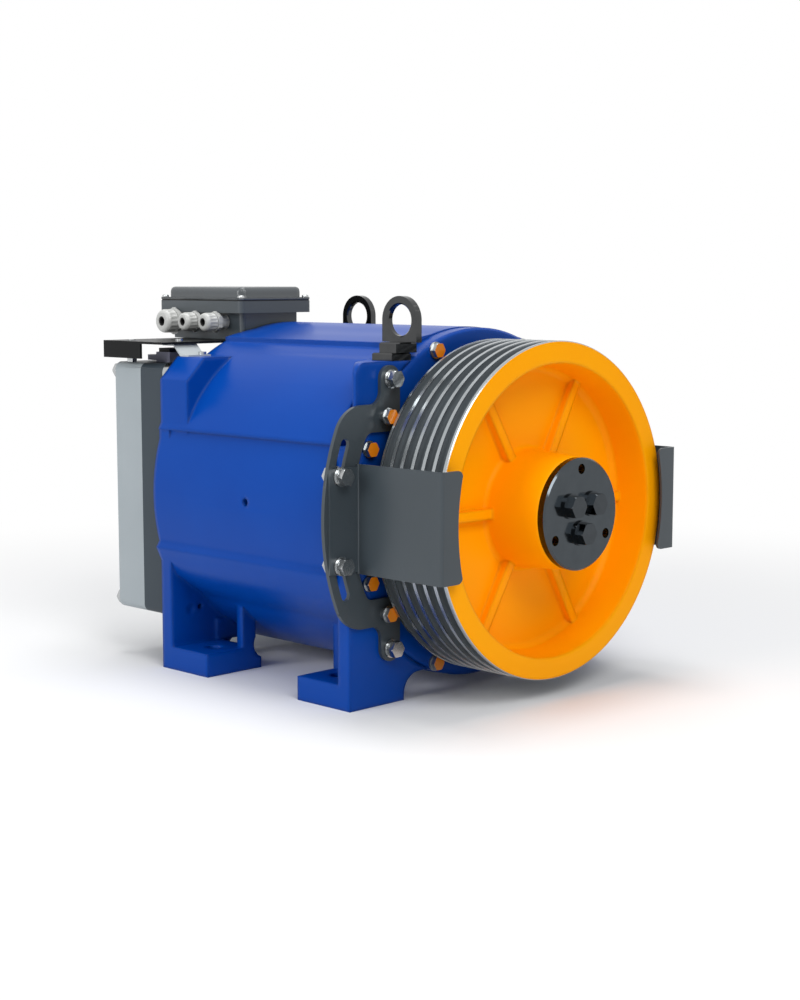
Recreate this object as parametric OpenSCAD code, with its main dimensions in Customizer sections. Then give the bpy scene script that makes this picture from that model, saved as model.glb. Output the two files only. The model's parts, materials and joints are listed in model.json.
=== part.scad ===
// Gearless elevator traction machine: cast housing with feet, rope sheave on the shaft end,
// rope guards, two lifting eyes, a spring-applied brake with two circuits and a terminal box.
// X is across the machine, -Y points to the sheave, +Y to the brake, +Z is up.
// The origin is the centre of the foot bolt pattern, on the plane the feet stand on.

/* [Housing] */
// Height of the shaft axis above the feet
shaft_h = 225; // [215:1:280]
// Half of the housing's length, from its middle to either end plane
half_len = 174; // [150:1:220]
// Radius of the round barrel casting
barrel_r = 213.5; // [208:0.5:222]
// Radius of the two side panels between the ridges
side_panel_r = 229.5; // [226:0.5:240]
// Radius of the bore that holds the stator
bore_r = 186; // [178:1:190]
// Thickness of the end flanges that carry the feet
flange_t = 20; // [16:1:30]
// Half of the width over the feet
foot_half_w = 218.5; // [214:0.5:240]
// Width of one foot across the machine
foot_w = 88.5; // [70:0.5:100]
// Length of one foot pad along the machine
foot_len = 90; // [70:1:120]
// Thickness of the foot pads
foot_t = 29; // [20:1:40]
// Diameter of the four foot bolt holes
foot_hole_d = 22; // [16:1:26]
// Distance of the foot bolts from the end plane
foot_hole_inset = 58; // [50:1:66]
// Distance of the foot bolts from the middle plane
foot_hole_x = 180; // [170:1:190]

/* [Sheave] */
// Diameter over the lands of the sheave
sheave_d = 400; // [330:10:500]
// Number of rope grooves
groove_n = 6; // [3:1:7]
// Distance from groove to groove
groove_pitch = 16.5; // [15:0.5:18]
// Diameter of the ropes
rope_d = 10; // [8:1:12]
// Gap from the housing's front plane to the sheave's rim
sheave_gap = 20.5; // [18:0.5:30]
// Thickness of the rim below the lands
rim_t = 26; // [20:1:30]
// Thickness of the hub's wall round the shaft
hub_wall = 26; // [22:1:34]
// Diameter of the shaft where it carries the sheave
shaft_d = 80; // [65:1:100]

/* [Guards] */
// Thickness of the guard brackets
bracket_t = 5; // [4:1:12]
// Radial distance from the sheave's rim to the guards' bolts
guard_bolt_off = 45; // [42:1:48]
// Gap between the guard and the sheave
guard_gap = 8.5; // [6:0.5:14]
// Height of the guards
guard_h = 126; // [90:1:140]
// Thickness of the guards' sheet
sheet_t = 3; // [2:0.5:4]
// Half of the angle that a guard can swing round the shaft axis
guard_swing = 8; // [4:1:9]

/* [Brake] */
// Depth of the brake's dark frame
frame_depth = 48; // [44:1:60]
// Depth of the brake's light magnet body
magnet_depth = 54; // [48:1:70]
// Half of the brake's width
brake_half_w = 200; // [160:1:210]
// Half of the brake's height
brake_half_h = 163; // [158:1:170]
// Gap between the housing's end plane and the brake
brake_gap = 13.5; // [12:0.5:20]
// Thickness of the friction disc
disc_t = 14; // [10:1:16]
// Travel of the armature plates when the brake releases
air_gap = 0.4; // [0.3:0.05:0.6]

/* [Terminal box] */
// Width of the terminal box across the machine
box_w = 100; // [90:1:130]
// Length of the terminal box along the machine
box_l = 146; // [140:1:170]
// Height of the terminal box's body under its rim
box_h = 35; // [30:1:50]

/* [Hidden] */

// small gaps between parts
slip = 0.05;
clear = 0.3;
cut = 1;

// colours
blue = [0.09, 0.27, 0.62];
orange = [1.0, 0.62, 0.0];
dark_grey = [0.29, 0.32, 0.34];
light_grey = [0.66, 0.69, 0.71];
steel = [0.55, 0.57, 0.6];
zinc = [0.75, 0.76, 0.77];
black = [0.08, 0.08, 0.09];
copper = [0.72, 0.42, 0.2];

// housing
front_y = -half_len;
rear_y = half_len;
shield_t = 23;
shield_seat_y = front_y + shield_t;
shield_r = barrel_r - 1;
nest_r = shield_r + 0.5;
ridge_h = 82;
panel_h = 78;
oval_shift = 32;
oval_r = 205.2;
top_pad_half_w = 108.5;
top_pad_rise = 14;
top_pad_edge = 195.5;
top_pad_r = (pow(top_pad_half_w, 2) + pow(top_pad_rise, 2)) / (2 * top_pad_rise);
front_block_z = shaft_h + 177;
front_block_half_w = 207;
front_block_len = 50;
front_block_edge = 6;
front_block_back = 140;
front_block_corner = 15;
rear_block_z = shaft_h + 173;
rear_block_half_w = 216;
rear_block_len = 54;
rear_block_chamfer = 28;
foot_inner_x = foot_half_w - foot_w;
foot_hole_y = half_len - foot_hole_inset;
foot_rib_in = 139;
foot_rib_out = 160;
foot_rib_t = 12;
foot_rib_top = 88;
arch_r = 24.5;
arch_x = foot_inner_x - arch_r;
arch_z = 7;
tap_r = 5.1;
tap_depth = 20;
tap_y = -4;
tap_z = shaft_h + 5;

// shield bolts
shield_bolt_r = shield_r - 9.5;
shield_bolt_angles = [22.5, 34.5, 67.5, 112.5, 145.5, 157.5, 202.5, 214.5, 247.5, 292.5, 325.5, 337.5];
bracket_bolt_angles = [34.5, 145.5, 214.5, 325.5];
plain_bolt_angles = [22.5, 67.5, 112.5, 157.5, 202.5, 247.5, 292.5, 337.5];
rear_shield_r = 180;
rear_bore_r = 165;
rear_bolt_r = 172.5;
rear_bolt_angles = [22.5, 67.5, 112.5, 157.5, 202.5, 247.5, 292.5, 337.5];
m10_af = 16;
m10_head = 6.4;
m12_af = 18;
m12_head = 7.8;
m12_washer = 2.2;
m12_lock = 3;
washer_t = 2;

// shaft and bearings
shaft_r = shaft_d / 2;
front_brg_r = shaft_r + 45;
front_brg_w = 39;
front_brg_y = front_y + 9;
rear_brg_bore = 30;
rear_brg_r = 55;
rear_brg_w = 22;
rear_brg_y = rear_y - 32;
ball_gap = 0.3;
shoulder_r = shaft_r + 11;
seal_r = shoulder_r + 12;
front_pitch = (shaft_r + front_brg_r) / 2;
front_ball = 12;
rear_pitch = (rear_brg_bore + rear_brg_r) / 2;
rear_ball = 7.5;

// motor
core_half = 65;
gap_r = 140;
rotor_r = gap_r - 1;
magnet_t = 5;
pole_n = 20;
magnet_w = 36;
slot_n = 24;

// sheave
sheave_r = sheave_d / 2;
land_w = groove_pitch - rope_d - 1.5;
rim_w = groove_n * groove_pitch + land_w;
sheave_back = front_y - sheave_gap;
sheave_front = sheave_back - rim_w;
rim_inner_r = sheave_r - rim_t;
web_y = sheave_front + 50;
web_t = 14;
rib_rim = 9;
rib_hub = 12;
hub_front = sheave_front - 26;
hub_back = sheave_back - 3;
hub_r = shaft_r + hub_wall;
hub_plate_t = 10;
hub_plate_y = hub_front - hub_plate_t;
hub_bolt_r = 22;
hub_bolt_angles = [30, 150, 270];
puller_hole_r = 6;
puller_pcd = 2 * shaft_r + hub_wall;
key_w = 22;
key_h = 14;
key_len = 90;
key_y = hub_front + 20;
groove_top = (groove_pitch - land_w) / 2;
hub_bolt_head = 10.5;

// brackets
guard_bolt_r = sheave_r + guard_bolt_off;
bracket_out = guard_bolt_r + 17;
bracket_in = guard_bolt_r - 28;
bracket_half_h = 129;
lobe_x = 157;
lobe_dz = 157.5;
lobe_r = 15.5;
slot_w = 13;
guard_bolt_angle = 12;
slot_angle = guard_bolt_angle + guard_swing + 0.6;
slot_inner_angle = guard_bolt_angle - guard_swing - 0.6;
bracket_y = front_y - bracket_t;
sleeve_r = 6.2;
sleeve_washer = 1;
sleeve_len = sheave_gap - bracket_t - m10_head - sleeve_washer - 1.1;
leg_dz = 97;
leg_fillet = 15;

// guards
guard_x = sheave_r + guard_gap + sheet_t;
guard_front = sheave_front - 14;
bend_in = 1.5;
bend_r = bend_in + sheet_t;
lip_reach = 34;
lip_corner = 8;
lip_r = 236;
lip_cx = guard_x - 26.7 - lip_r;
tab_out = guard_bolt_r + 11;

// lifting eyes
eye_t = 9;
eye_r = 28;
eye_hole_r = 18.5;
eye_x = 121;
front_eye_y = front_y + 12.5;
rear_eye_y = rear_y - 12.5;
eye_base_t = 9;
eye_collar_t = 12;
eye_hole_h = 46.5;
eye_foot_h = eye_base_t + eye_collar_t;
eye_stud_x = 19;
eye_stud_y = 3.5;
eye_stud_r = 5;
eye_stud_len = 9;

// brake
brake_y = rear_y + brake_gap;
brake_z = shaft_h;
magnet_y = brake_y + frame_depth;
brake_back = magnet_y + magnet_depth;
brake_bolt_x = brake_half_w - 12;
brake_bolt_dz = brake_half_h - 12;
brake_bolt_in = 18;
opening_half_w = brake_half_w - 32;
opening_half_h = brake_half_h - 29;
disc_r = 130;
lining_gap = 0.1;
brake_plate_t = 10;
disc_y = brake_y + brake_plate_t + lining_gap;
armature_y = disc_y + disc_t + lining_gap;
armature_t = magnet_y - air_gap - 0.05 - armature_y;
armature_half_w = opening_half_w - 3;
armature_half_h = opening_half_h - 3;
spring_r = 10;
spring_depth = 40;
pin_x = opening_half_w - 20;
spring_x = [pin_x - 103, pin_x - 13];
spring_dz = 79;
pin_r = 6;
pin_dz = 112;
coil_x = (pin_x + 36) / 2;
coil_r = (pin_x - 36) / 2;
coil_in = coil_r - 20;
coil_depth = 28;
hub_hex = 66;
switch_x = brake_half_w - 50;
switch_grey = [0.66, 0.67, 0.76];

// roof plate and terminal box
roof_top = brake_z + brake_half_h + 28;
roof_t = 3;
roof_half_w = brake_half_w + 11;
roof_back = brake_back + 10;
roof_lip = 22;
lip_start = 45;
tab_w = 37;
tab_x = rear_block_half_w - rear_block_chamfer - tab_w / 2;
roof_screw_y = rear_y + 19;
post_x = [-brake_half_w + 12, brake_half_w - 12];
post_y = magnet_y + 34;
box_x = -77;
box_y = rear_y + 4;
rim_over = 13;
rim_h = 15.5;
lid_h = 17;
dome_inset = 8.5;
screw_room = 9;
box_wall = 4;
gasket_t = 1.5;
lid_inset = 6.5;
lid_x = [box_x - rim_over + lid_inset, box_x + box_w + rim_over - lid_inset];
lid_y = [box_y - rim_over + lid_inset, box_y + box_l + rim_over - lid_inset];
gland_end = 5;
neck_len = 14;
gland_seal_x = box_x - neck_len - 19 - gland_end + 1;
gland_z = roof_top + 23;
gland_y = [box_y + 35, box_y + 77.5, box_y + 122];
gland_r = [12, 12, 15.5];
gland_bore = [4, 4, 5];

// encoder
encoder_r = 32;
encoder_len = 40;
stub_r = 12;

// a cylinder along Y
module ycyl(r, y0, y1, x = 0, z = shaft_h) {
    translate([x, y0, z])
        rotate([-90, 0, 0])
            cylinder(r = r, h = y1 - y0, $fn = 96);
}

// a cylinder along X
module xcyl(r, x0, x1, y, z) {
    translate([x0, y, z])
        rotate([0, 90, 0])
            cylinder(r = r, h = x1 - x0, $fn = 64);
}

// a ring along Y
module yring(ro, ri, y0, y1, x = 0, z = shaft_h) {
    difference() {
        ycyl(ro, y0, y1, x, z);
        ycyl(ri, y0 - cut, y1 + cut, x, z);
    }
}

// a block given by its two corners
module block(low, high) {
    translate(low)
        cube(high - low);
}

// an outline in X and Z, extruded along Y
module yprism(points, y0, y1) {
    translate([0, y1, 0])
        rotate([90, 0, 0])
            linear_extrude(height = y1 - y0)
                polygon(points);
}

// an outline in Y and Z, extruded along X
module xprism(points, x0, x1) {
    translate([x0, 0, 0])
        rotate([90, 0, 90])
            linear_extrude(height = x1 - x0)
                polygon(points);
}

// a slab along Y with rounded corners
module yslab(half_w, z0, z1, y0, y1, r) {
    block([-half_w + r, y0, z0], [half_w - r, y1, z1]);
    block([-half_w, y0, z0 + r], [half_w, y1, z1 - r]);
    for (x = [-half_w + r, half_w - r])
        for (z = [z0 + r, z1 - r])
            ycyl(r, y0, y1, x, z);
}

// places its children on a circle round the shaft axis
module round_shaft(angles, r) {
    for (a = angles)
        translate([r * cos(a), 0, shaft_h + r * sin(a)])
            children();
}

// a hexagon bolt whose head points along -Y and sits on a washer at y = 0,
// with a split spring washer between them where lock is its thickness
module hex_bolt(d, af, head, washer, len, lock = 0) {
    rotate([90, 0, 0]) {
        cylinder(r = af * 0.62, h = washer, $fn = 48);
        if (lock > 0)
            difference() {
                cylinder(r = af * 0.53, h = washer + lock + slip, $fn = 48);
                translate([-af, -0.5, washer])
                    rotate([20, 0, 0])
                        cube([af, 1, lock]);
            }
        translate([0, 0, washer + lock])
            intersection() {
                cylinder(d = af / cos(30), h = head, $fn = 6);
                cylinder(r1 = af * 0.68, r2 = af * 0.5, h = head * 1.35, $fn = 64);
            }
    }
    rotate([-90, 0, 0])
        cylinder(d = d, h = len, $fn = 32);
}

// the round bottom and the arch between the feet, cut from a flange
module under_arch(y0, y1) {
    for (s = [-1, 1])
        ycyl(arch_r, y0, y1, s * arch_x, arch_z);
    block([-arch_x, y0, -cut], [arch_x, y1, arch_z + arch_r]);
    block([-foot_inner_x, y0, -cut], [foot_inner_x, y1, arch_z]);
}

// the hollow in the inner upper edge of a pad
module pad_scoop(y0, y1) {
    for (s = [-1, 1])
        ycyl(18, y0, y1, s * (foot_inner_x - 6), foot_t + 2);
}

// a foot pad
module foot_pad(sx, sy) {
    x0 = sx > 0 ? foot_inner_x : -foot_half_w;
    y0 = sy > 0 ? rear_y - foot_len : front_y;
    block([x0, y0, 0], [x0 + foot_w, y0 + foot_len, foot_t]);
    // rib from the pad's inner end up to the barrel
    r0 = sx > 0 ? foot_rib_in : -foot_rib_out;
    r1 = sx > 0 ? foot_rib_out : -foot_rib_in;
    q0 = sy > 0 ? y0 : y0 + foot_len - foot_rib_t;
    block([r0, q0, foot_t - 1], [r1, q0 + foot_rib_t, foot_rib_top]);
}

module barrel() {
    y0 = shield_seat_y;
    y1 = rear_y;
    ycyl(barrel_r, y0, y1);
    // side panels
    intersection() {
        ycyl(side_panel_r, y0, y1);
        block([-side_panel_r - cut, y0, shaft_h - panel_h], [side_panel_r + cut, y1, shaft_h + ridge_h]);
    }
    // shoulders above the upper ridges
    intersection() {
        union() {
            ycyl(oval_r, y0, y1, -oval_shift);
            ycyl(oval_r, y0, y1, oval_shift);
        }
        block([-side_panel_r - 20, y0, shaft_h + ridge_h], [side_panel_r + 20, y1, shaft_h + oval_r + cut]);
    }
    // raised top
    intersection() {
        ycyl(top_pad_r, y0, y1, 0, shaft_h + top_pad_edge + top_pad_rise - top_pad_r);
        block([-top_pad_half_w, y0, shaft_h + 120], [top_pad_half_w, y1, shaft_h + barrel_r + 10]);
    }
    // bands under the lower ridges
    for (s = [-1, 1])
        yprism([[s * 150, shaft_h - 50], [s * 219.5, shaft_h - 57], [s * 226.5, shaft_h - 68],
                [s * 211, shaft_h - 102], [s * 167, shaft_h - 133], [s * 110, shaft_h - 110]], y0, y1);
}

module front_plate() {
    y1 = front_y + flange_t;
    difference() {
        union() {
            block([-foot_half_w, front_y, 0], [foot_half_w, y1, shaft_h + ridge_h]);
            front_block();
            for (s = [-1, 1])
                foot_pad(s, -1);
        }
        under_arch(front_y - cut, front_y + foot_len + cut);
        pad_scoop(front_y + flange_t, front_y + foot_len + cut);
    }
}

// the upper block of the front flange: rounded corners, and its ends run back into the barrel
module front_block() {
    w = front_block_half_w;
    y1 = front_y + front_block_len;
    q = front_block_corner;
    intersection() {
        union() {
            block([-w, front_y, shaft_h], [w, y1, front_block_z - q]);
            block([-w + q, front_y, shaft_h], [w - q, y1, front_block_z]);
            for (s = [-1, 1])
                ycyl(q, front_y, y1, s * (w - q), front_block_z - q);
        }
        translate([0, 0, shaft_h])
            linear_extrude(height = 200)
                polygon([[-w, front_y], [w, front_y], [w, front_y + front_block_edge],
                         [front_block_back, y1], [-front_block_back, y1], [-w, front_y + front_block_edge]]);
    }
}

module rear_plate() {
    y0 = rear_y - flange_t;
    w = rear_block_half_w;
    c = rear_block_chamfer;
    difference() {
        union() {
            block([-foot_half_w, y0, 0], [foot_half_w, rear_y, shaft_h + ridge_h]);
            yprism([[-w, shaft_h], [w, shaft_h], [w, rear_block_z - c], [w - c, rear_block_z],
                    [-w + c, rear_block_z], [-w, rear_block_z - c]], rear_y - rear_block_len, rear_y);
            for (s = [-1, 1])
                foot_pad(s, 1);
        }
        under_arch(rear_y - foot_len - cut, rear_y + cut);
        pad_scoop(rear_y - foot_len - cut, rear_y - flange_t);
    }
}

module housing() {
    color(blue)
        difference() {
            union() {
                barrel();
                front_plate();
                rear_plate();
                // bosses on the flanges above the pads
                for (s = [-1, 1])
                    for (e = [-1, 1])
                        block([s * 126 - 22, e * (rear_y - flange_t - 1.5) - 2.5, foot_t - 1],
                              [s * 126 + 22, e * (rear_y - flange_t - 1.5) + 2.5, foot_t + 28]);
            }
            // bore for the stator, nest of the front shield and seat of the rear shield
            ycyl(bore_r, front_y - cut, rear_y - 34);
            ycyl(nest_r, front_y - cut, shield_seat_y);
            ycyl(rear_bore_r, front_y, rear_y + cut);
            ycyl(rear_shield_r + clear, rear_y - 12, rear_y + cut);
            // seats of the lifting eyes
            block([-eye_x - 30, front_y - cut, front_block_z],
                  [-eye_x + 12.5, front_eye_y + 20.5, shaft_h + 230]);
            block([eye_x - 12.5, rear_eye_y - 20.5, rear_block_z],
                  [eye_x + 30, rear_y + cut, shaft_h + 230]);
            for (s = [-1, 1]) {
                // tapped holes of the roof tabs
                translate([s * (tab_x - 10), rear_y - 15, rear_block_z - 14])
                    cylinder(r = 3 + slip, h = 20, $fn = 32);
            }
            // small holes in the rear flange
            for (x = [-172.5, 172.5])
                ycyl(3.5, rear_y - flange_t - 6, rear_y + cut, x, 76);
            // tapped holes of the lifting eyes
            translate([-eye_x - eye_stud_x, front_eye_y + eye_stud_y, front_block_z - eye_stud_len - 1])
                cylinder(r = eye_stud_r + slip, h = eye_stud_len + 3, $fn = 32);
            translate([eye_x + eye_stud_x, rear_eye_y - eye_stud_y, rear_block_z - eye_stud_len - 1])
                cylinder(r = eye_stud_r + slip, h = eye_stud_len + 3, $fn = 32);
            // foot bolt holes
            for (x = [-foot_hole_x, foot_hole_x])
                for (y = [-foot_hole_y, foot_hole_y])
                    translate([x, y, -cut])
                        cylinder(d = foot_hole_d, h = foot_t + 2 * cut, $fn = 64);
            // tapped holes in the sides
            xcyl(tap_r, -side_panel_r - cut, -side_panel_r + tap_depth, tap_y, tap_z);
            xcyl(tap_r, side_panel_r - tap_depth, side_panel_r + cut, tap_y, tap_z);
            // tapped holes for the shields, brackets and brake
            round_shaft(shield_bolt_angles, shield_bolt_r)
                rotate([-90, 0, 0])
                    translate([0, 0, shield_seat_y - cut])
                        cylinder(r = 5 + slip, h = 22, $fn = 32);
            round_shaft(rear_bolt_angles, rear_bolt_r)
                rotate([-90, 0, 0])
                    translate([0, 0, rear_y - 30])
                        cylinder(r = 4 + slip, h = 30 + cut, $fn = 32);
            for (x = [-lobe_x, lobe_x])
                for (z = [shaft_h - lobe_dz, shaft_h + lobe_dz])
                    ycyl(6 + slip, front_y - cut, front_y + 27, x, z);
            for (x = [-brake_bolt_x, brake_bolt_x])
                for (z = [brake_z - brake_bolt_dz, brake_z + brake_bolt_dz])
                    ycyl(6 + slip, rear_y - brake_bolt_in - 0.6, rear_y + cut, x, z);
        }
}

module front_shield() {
    color(blue)
        difference() {
            union() {
                ycyl(shield_r, front_y + 3, shield_seat_y);
                translate([0, front_y, shaft_h])
                    rotate([-90, 0, 0])
                        cylinder(r1 = shield_r - 3, r2 = shield_r, h = 3 + slip, $fn = 96);
                ycyl(bore_r - slip, shield_seat_y - cut, shield_seat_y + 12);
                ycyl(front_brg_r + 17, front_y + 3, front_brg_y + front_brg_w);
            }
            ycyl(bore_r - 16, shield_seat_y + 1, shield_seat_y + 12 + cut);
            ycyl(front_brg_r + slip, front_brg_y, shield_seat_y + 80);
            ycyl(seal_r + slip, front_y - cut, front_brg_y + cut);
            round_shaft(shield_bolt_angles, shield_bolt_r)
                rotate([-90, 0, 0])
                    translate([0, 0, front_y - cut])
                        cylinder(r = 5.5, h = shield_t + 2 * cut, $fn = 32);
        }
    color(blue)
        difference() {
            ycyl(front_brg_r + 17.1, front_y + 4, front_brg_y + front_brg_w);
            ycyl(front_brg_r + slip, front_y, shield_seat_y + 80);
        }
}

module rear_shield() {
    color(blue)
        difference() {
            union() {
                ycyl(rear_shield_r, rear_y - 12, rear_y);
                ycyl(rear_bore_r - slip, rear_y - 24, rear_y - 12 + cut);
                ycyl(rear_brg_r + 18, rear_brg_y - 4, rear_y);
            }
            ycyl(rear_brg_r + slip, rear_brg_y, rear_brg_y + rear_brg_w);
            ycyl(rear_brg_r - 8, rear_brg_y - 5, rear_brg_y + cut);
            ycyl(rear_brg_bore + 6, rear_brg_y + rear_brg_w - cut, rear_y + cut);
            round_shaft(rear_bolt_angles, rear_bolt_r)
                rotate([-90, 0, 0])
                    translate([0, 0, rear_y - 12 - cut])
                        cylinder(r = 4.5, h = 12 + 2 * cut, $fn = 32);
        }
}

module shield_bolt(y, washer) {
    translate([0, y, 0])
        hex_bolt(10, m10_af, m10_head, washer, front_y + shield_t + 18 - y);
}

module front_shield_bolts() {
    color(light_grey) {
        round_shaft(plain_bolt_angles, shield_bolt_r)
            shield_bolt(front_y, washer_t);
        round_shaft(bracket_bolt_angles, shield_bolt_r) {
            ycyl(sleeve_r, bracket_y - sleeve_len, bracket_y, 0, 0);
            shield_bolt(bracket_y - sleeve_len, sleeve_washer);
        }
    }
}

module rear_shield_bolts() {
    color(steel)
        round_shaft(rear_bolt_angles, rear_bolt_r)
            translate([0, rear_y, 0])
                rotate([0, 0, 180])
                    hex_bolt(8, 13, 5.3, 1.6, 28);
}

// the outer ring of a ball bearing
module ring_outer(ro, pitch, ball, w, y) {
    difference() {
        yring(ro, pitch + ball * 0.87, y, y + w);
        translate([0, y + w / 2, shaft_h])
            rotate([-90, 0, 0])
                rotate_extrude($fn = 96)
                    translate([pitch, 0])
                        circle(r = ball + ball_gap, $fn = 48);
    }
}

// the inner ring of a ball bearing
module ring_inner(ri, pitch, ball, w, y) {
    difference() {
        yring(pitch - ball * 0.87, ri + slip, y, y + w);
        translate([0, y + w / 2, shaft_h])
            rotate([-90, 0, 0])
                rotate_extrude($fn = 96)
                    translate([pitch, 0])
                        circle(r = ball + ball_gap, $fn = 48);
    }
}

// the balls of a bearing and their cage
module ring_balls(pitch, ball, n, y) {
    for (i = [0 : n - 1])
        translate([pitch * cos(i * 360 / n), y, shaft_h + pitch * sin(i * 360 / n)])
            sphere(r = ball, $fn = 24);
    difference() {
        yring(pitch + ball * 0.13, pitch - ball * 0.13, y - ball * 1.25, y + ball * 1.25);
        for (i = [0 : n - 1])
            translate([pitch * cos(i * 360 / n), y, shaft_h + pitch * sin(i * 360 / n)])
                sphere(r = ball + 0.15, $fn = 24);
    }
}

module front_bearing_outer() {
    color(steel)
        ring_outer(front_brg_r, front_pitch, front_ball, front_brg_w, front_brg_y);
}

module front_bearing_inner() {
    color(steel)
        ring_inner(shaft_r, front_pitch, front_ball, front_brg_w, front_brg_y);
}

module front_bearing_balls() {
    color(zinc)
        ring_balls(front_pitch, front_ball, 9, front_brg_y + front_brg_w / 2);
}

module rear_bearing_outer() {
    color(steel)
        ring_outer(rear_brg_r, rear_pitch, rear_ball, rear_brg_w, rear_brg_y);
}

module rear_bearing_inner() {
    color(steel)
        ring_inner(rear_brg_bore, rear_pitch, rear_ball, rear_brg_w, rear_brg_y);
}

module rear_bearing_balls() {
    color(zinc)
        ring_balls(rear_pitch, rear_ball, 10, rear_brg_y + rear_brg_w / 2);
}

module front_bearing_cap() {
    y0 = front_brg_y + front_brg_w;
    color(steel) {
        yring(front_brg_r + 17, front_brg_r - 8, y0, y0 + 8);
        for (a = [0 : 60 : 300])
            translate([(front_brg_r + 8) * cos(a), y0 + 8, shaft_h + (front_brg_r + 8) * sin(a)])
                rotate([-90, 0, 0])
                    cylinder(r = 6, h = 5, $fn = 32);
    }
}

module front_seal() {
    color(black)
        yring(seal_r, shoulder_r + slip, front_y, front_brg_y);
}

module stator_core() {
    color(steel)
        difference() {
            yring(bore_r - slip, gap_r, -core_half, core_half);
            for (i = [0 : slot_n - 1])
                translate([0, 0, shaft_h])
                    rotate([0, i * 360 / slot_n, 0])
                        block([gap_r + 4, -core_half - cut, -6], [gap_r + 32, core_half + cut, 6]);
        }
}

module windings() {
    color(copper)
        union() {
            yring(gap_r + 36, gap_r + 6, core_half + 2, core_half + 40);
            yring(gap_r + 36, gap_r + 6, -core_half - 40, -core_half - 2);
            for (i = [0 : slot_n - 1])
                translate([0, 0, shaft_h])
                    rotate([0, i * 360 / slot_n, 0])
                        block([gap_r + 7, -core_half - 4, -5], [gap_r + 31, core_half + 4, 5]);
        }
}

module rotor_core() {
    color(steel)
        difference() {
            union() {
                yring(rotor_r - magnet_t, rotor_r - magnet_t - 24, -core_half, core_half);
                yring(rotor_r - magnet_t - 23, shaft_r + 10, -11, 11);
                yring(shaft_r + 20, shaft_r + slip, -core_half, core_half);
            }
            round_shaft([0 : 60 : 300], 82)
                rotate([-90, 0, 0])
                    translate([0, 0, -12])
                        cylinder(r = 15, h = 24, $fn = 48);
        }
}

module magnets() {
    color(dark_grey)
        intersection() {
            yring(rotor_r, rotor_r - magnet_t + slip, -core_half + 2, core_half - 2);
            for (i = [0 : pole_n - 1])
                translate([0, 0, shaft_h])
                    rotate([0, i * 360 / pole_n, 0])
                        block([rotor_r - 20, -core_half, -magnet_w / 2],
                              [rotor_r + 5, core_half, magnet_w / 2]);
        }
}

module shaft() {
    color(steel)
        difference() {
            union() {
                ycyl(shaft_r, hub_front + 2, 110);
                ycyl(shoulder_r, hub_back, front_brg_y);
                ycyl(rear_brg_bore + 4, 109, rear_brg_y);
                ycyl(rear_brg_bore, rear_brg_y - cut, rear_y - 2);
                ycyl(26, rear_y - 3, armature_y + armature_t);
                ycyl(stub_r, armature_y, brake_back + 28);
            }
            round_shaft(hub_bolt_angles, hub_bolt_r)
                rotate([-90, 0, 0])
                    translate([0, 0, hub_front])
                        cylinder(r = 8 + slip, h = 36, $fn = 32);
            block([-key_w / 2 - slip, key_y - slip, shaft_h + shaft_r - 9],
                  [key_w / 2 + slip, key_y + key_len + slip, shaft_h + shaft_r + cut]);
        }
}

module sheave_key() {
    color(zinc)
        block([-key_w / 2, key_y, shaft_h + shaft_r - 9 + slip],
              [key_w / 2, key_y + key_len, shaft_h + shaft_r - 9 + key_h]);
}

// the grooves cut into the rim
module rope_grooves() {
    translate([0, sheave_front, shaft_h])
        rotate([-90, 0, 0])
            rotate_extrude($fn = 128)
                for (i = [0 : groove_n - 1])
                    translate([0, land_w / 2 + groove_pitch * (i + 0.5)])
                        polygon([[sheave_r + 1, -groove_top - 0.3], [sheave_r + 1, groove_top + 0.3],
                                 [sheave_r - 6.2, 5.1], [sheave_r - 9.2, 4.1], [sheave_r - 11.2, 2.1],
                                 [sheave_r - 11.7, 0], [sheave_r - 11.2, -2.1], [sheave_r - 9.2, -4.1],
                                 [sheave_r - 6.2, -5.1]]);
}

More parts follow.
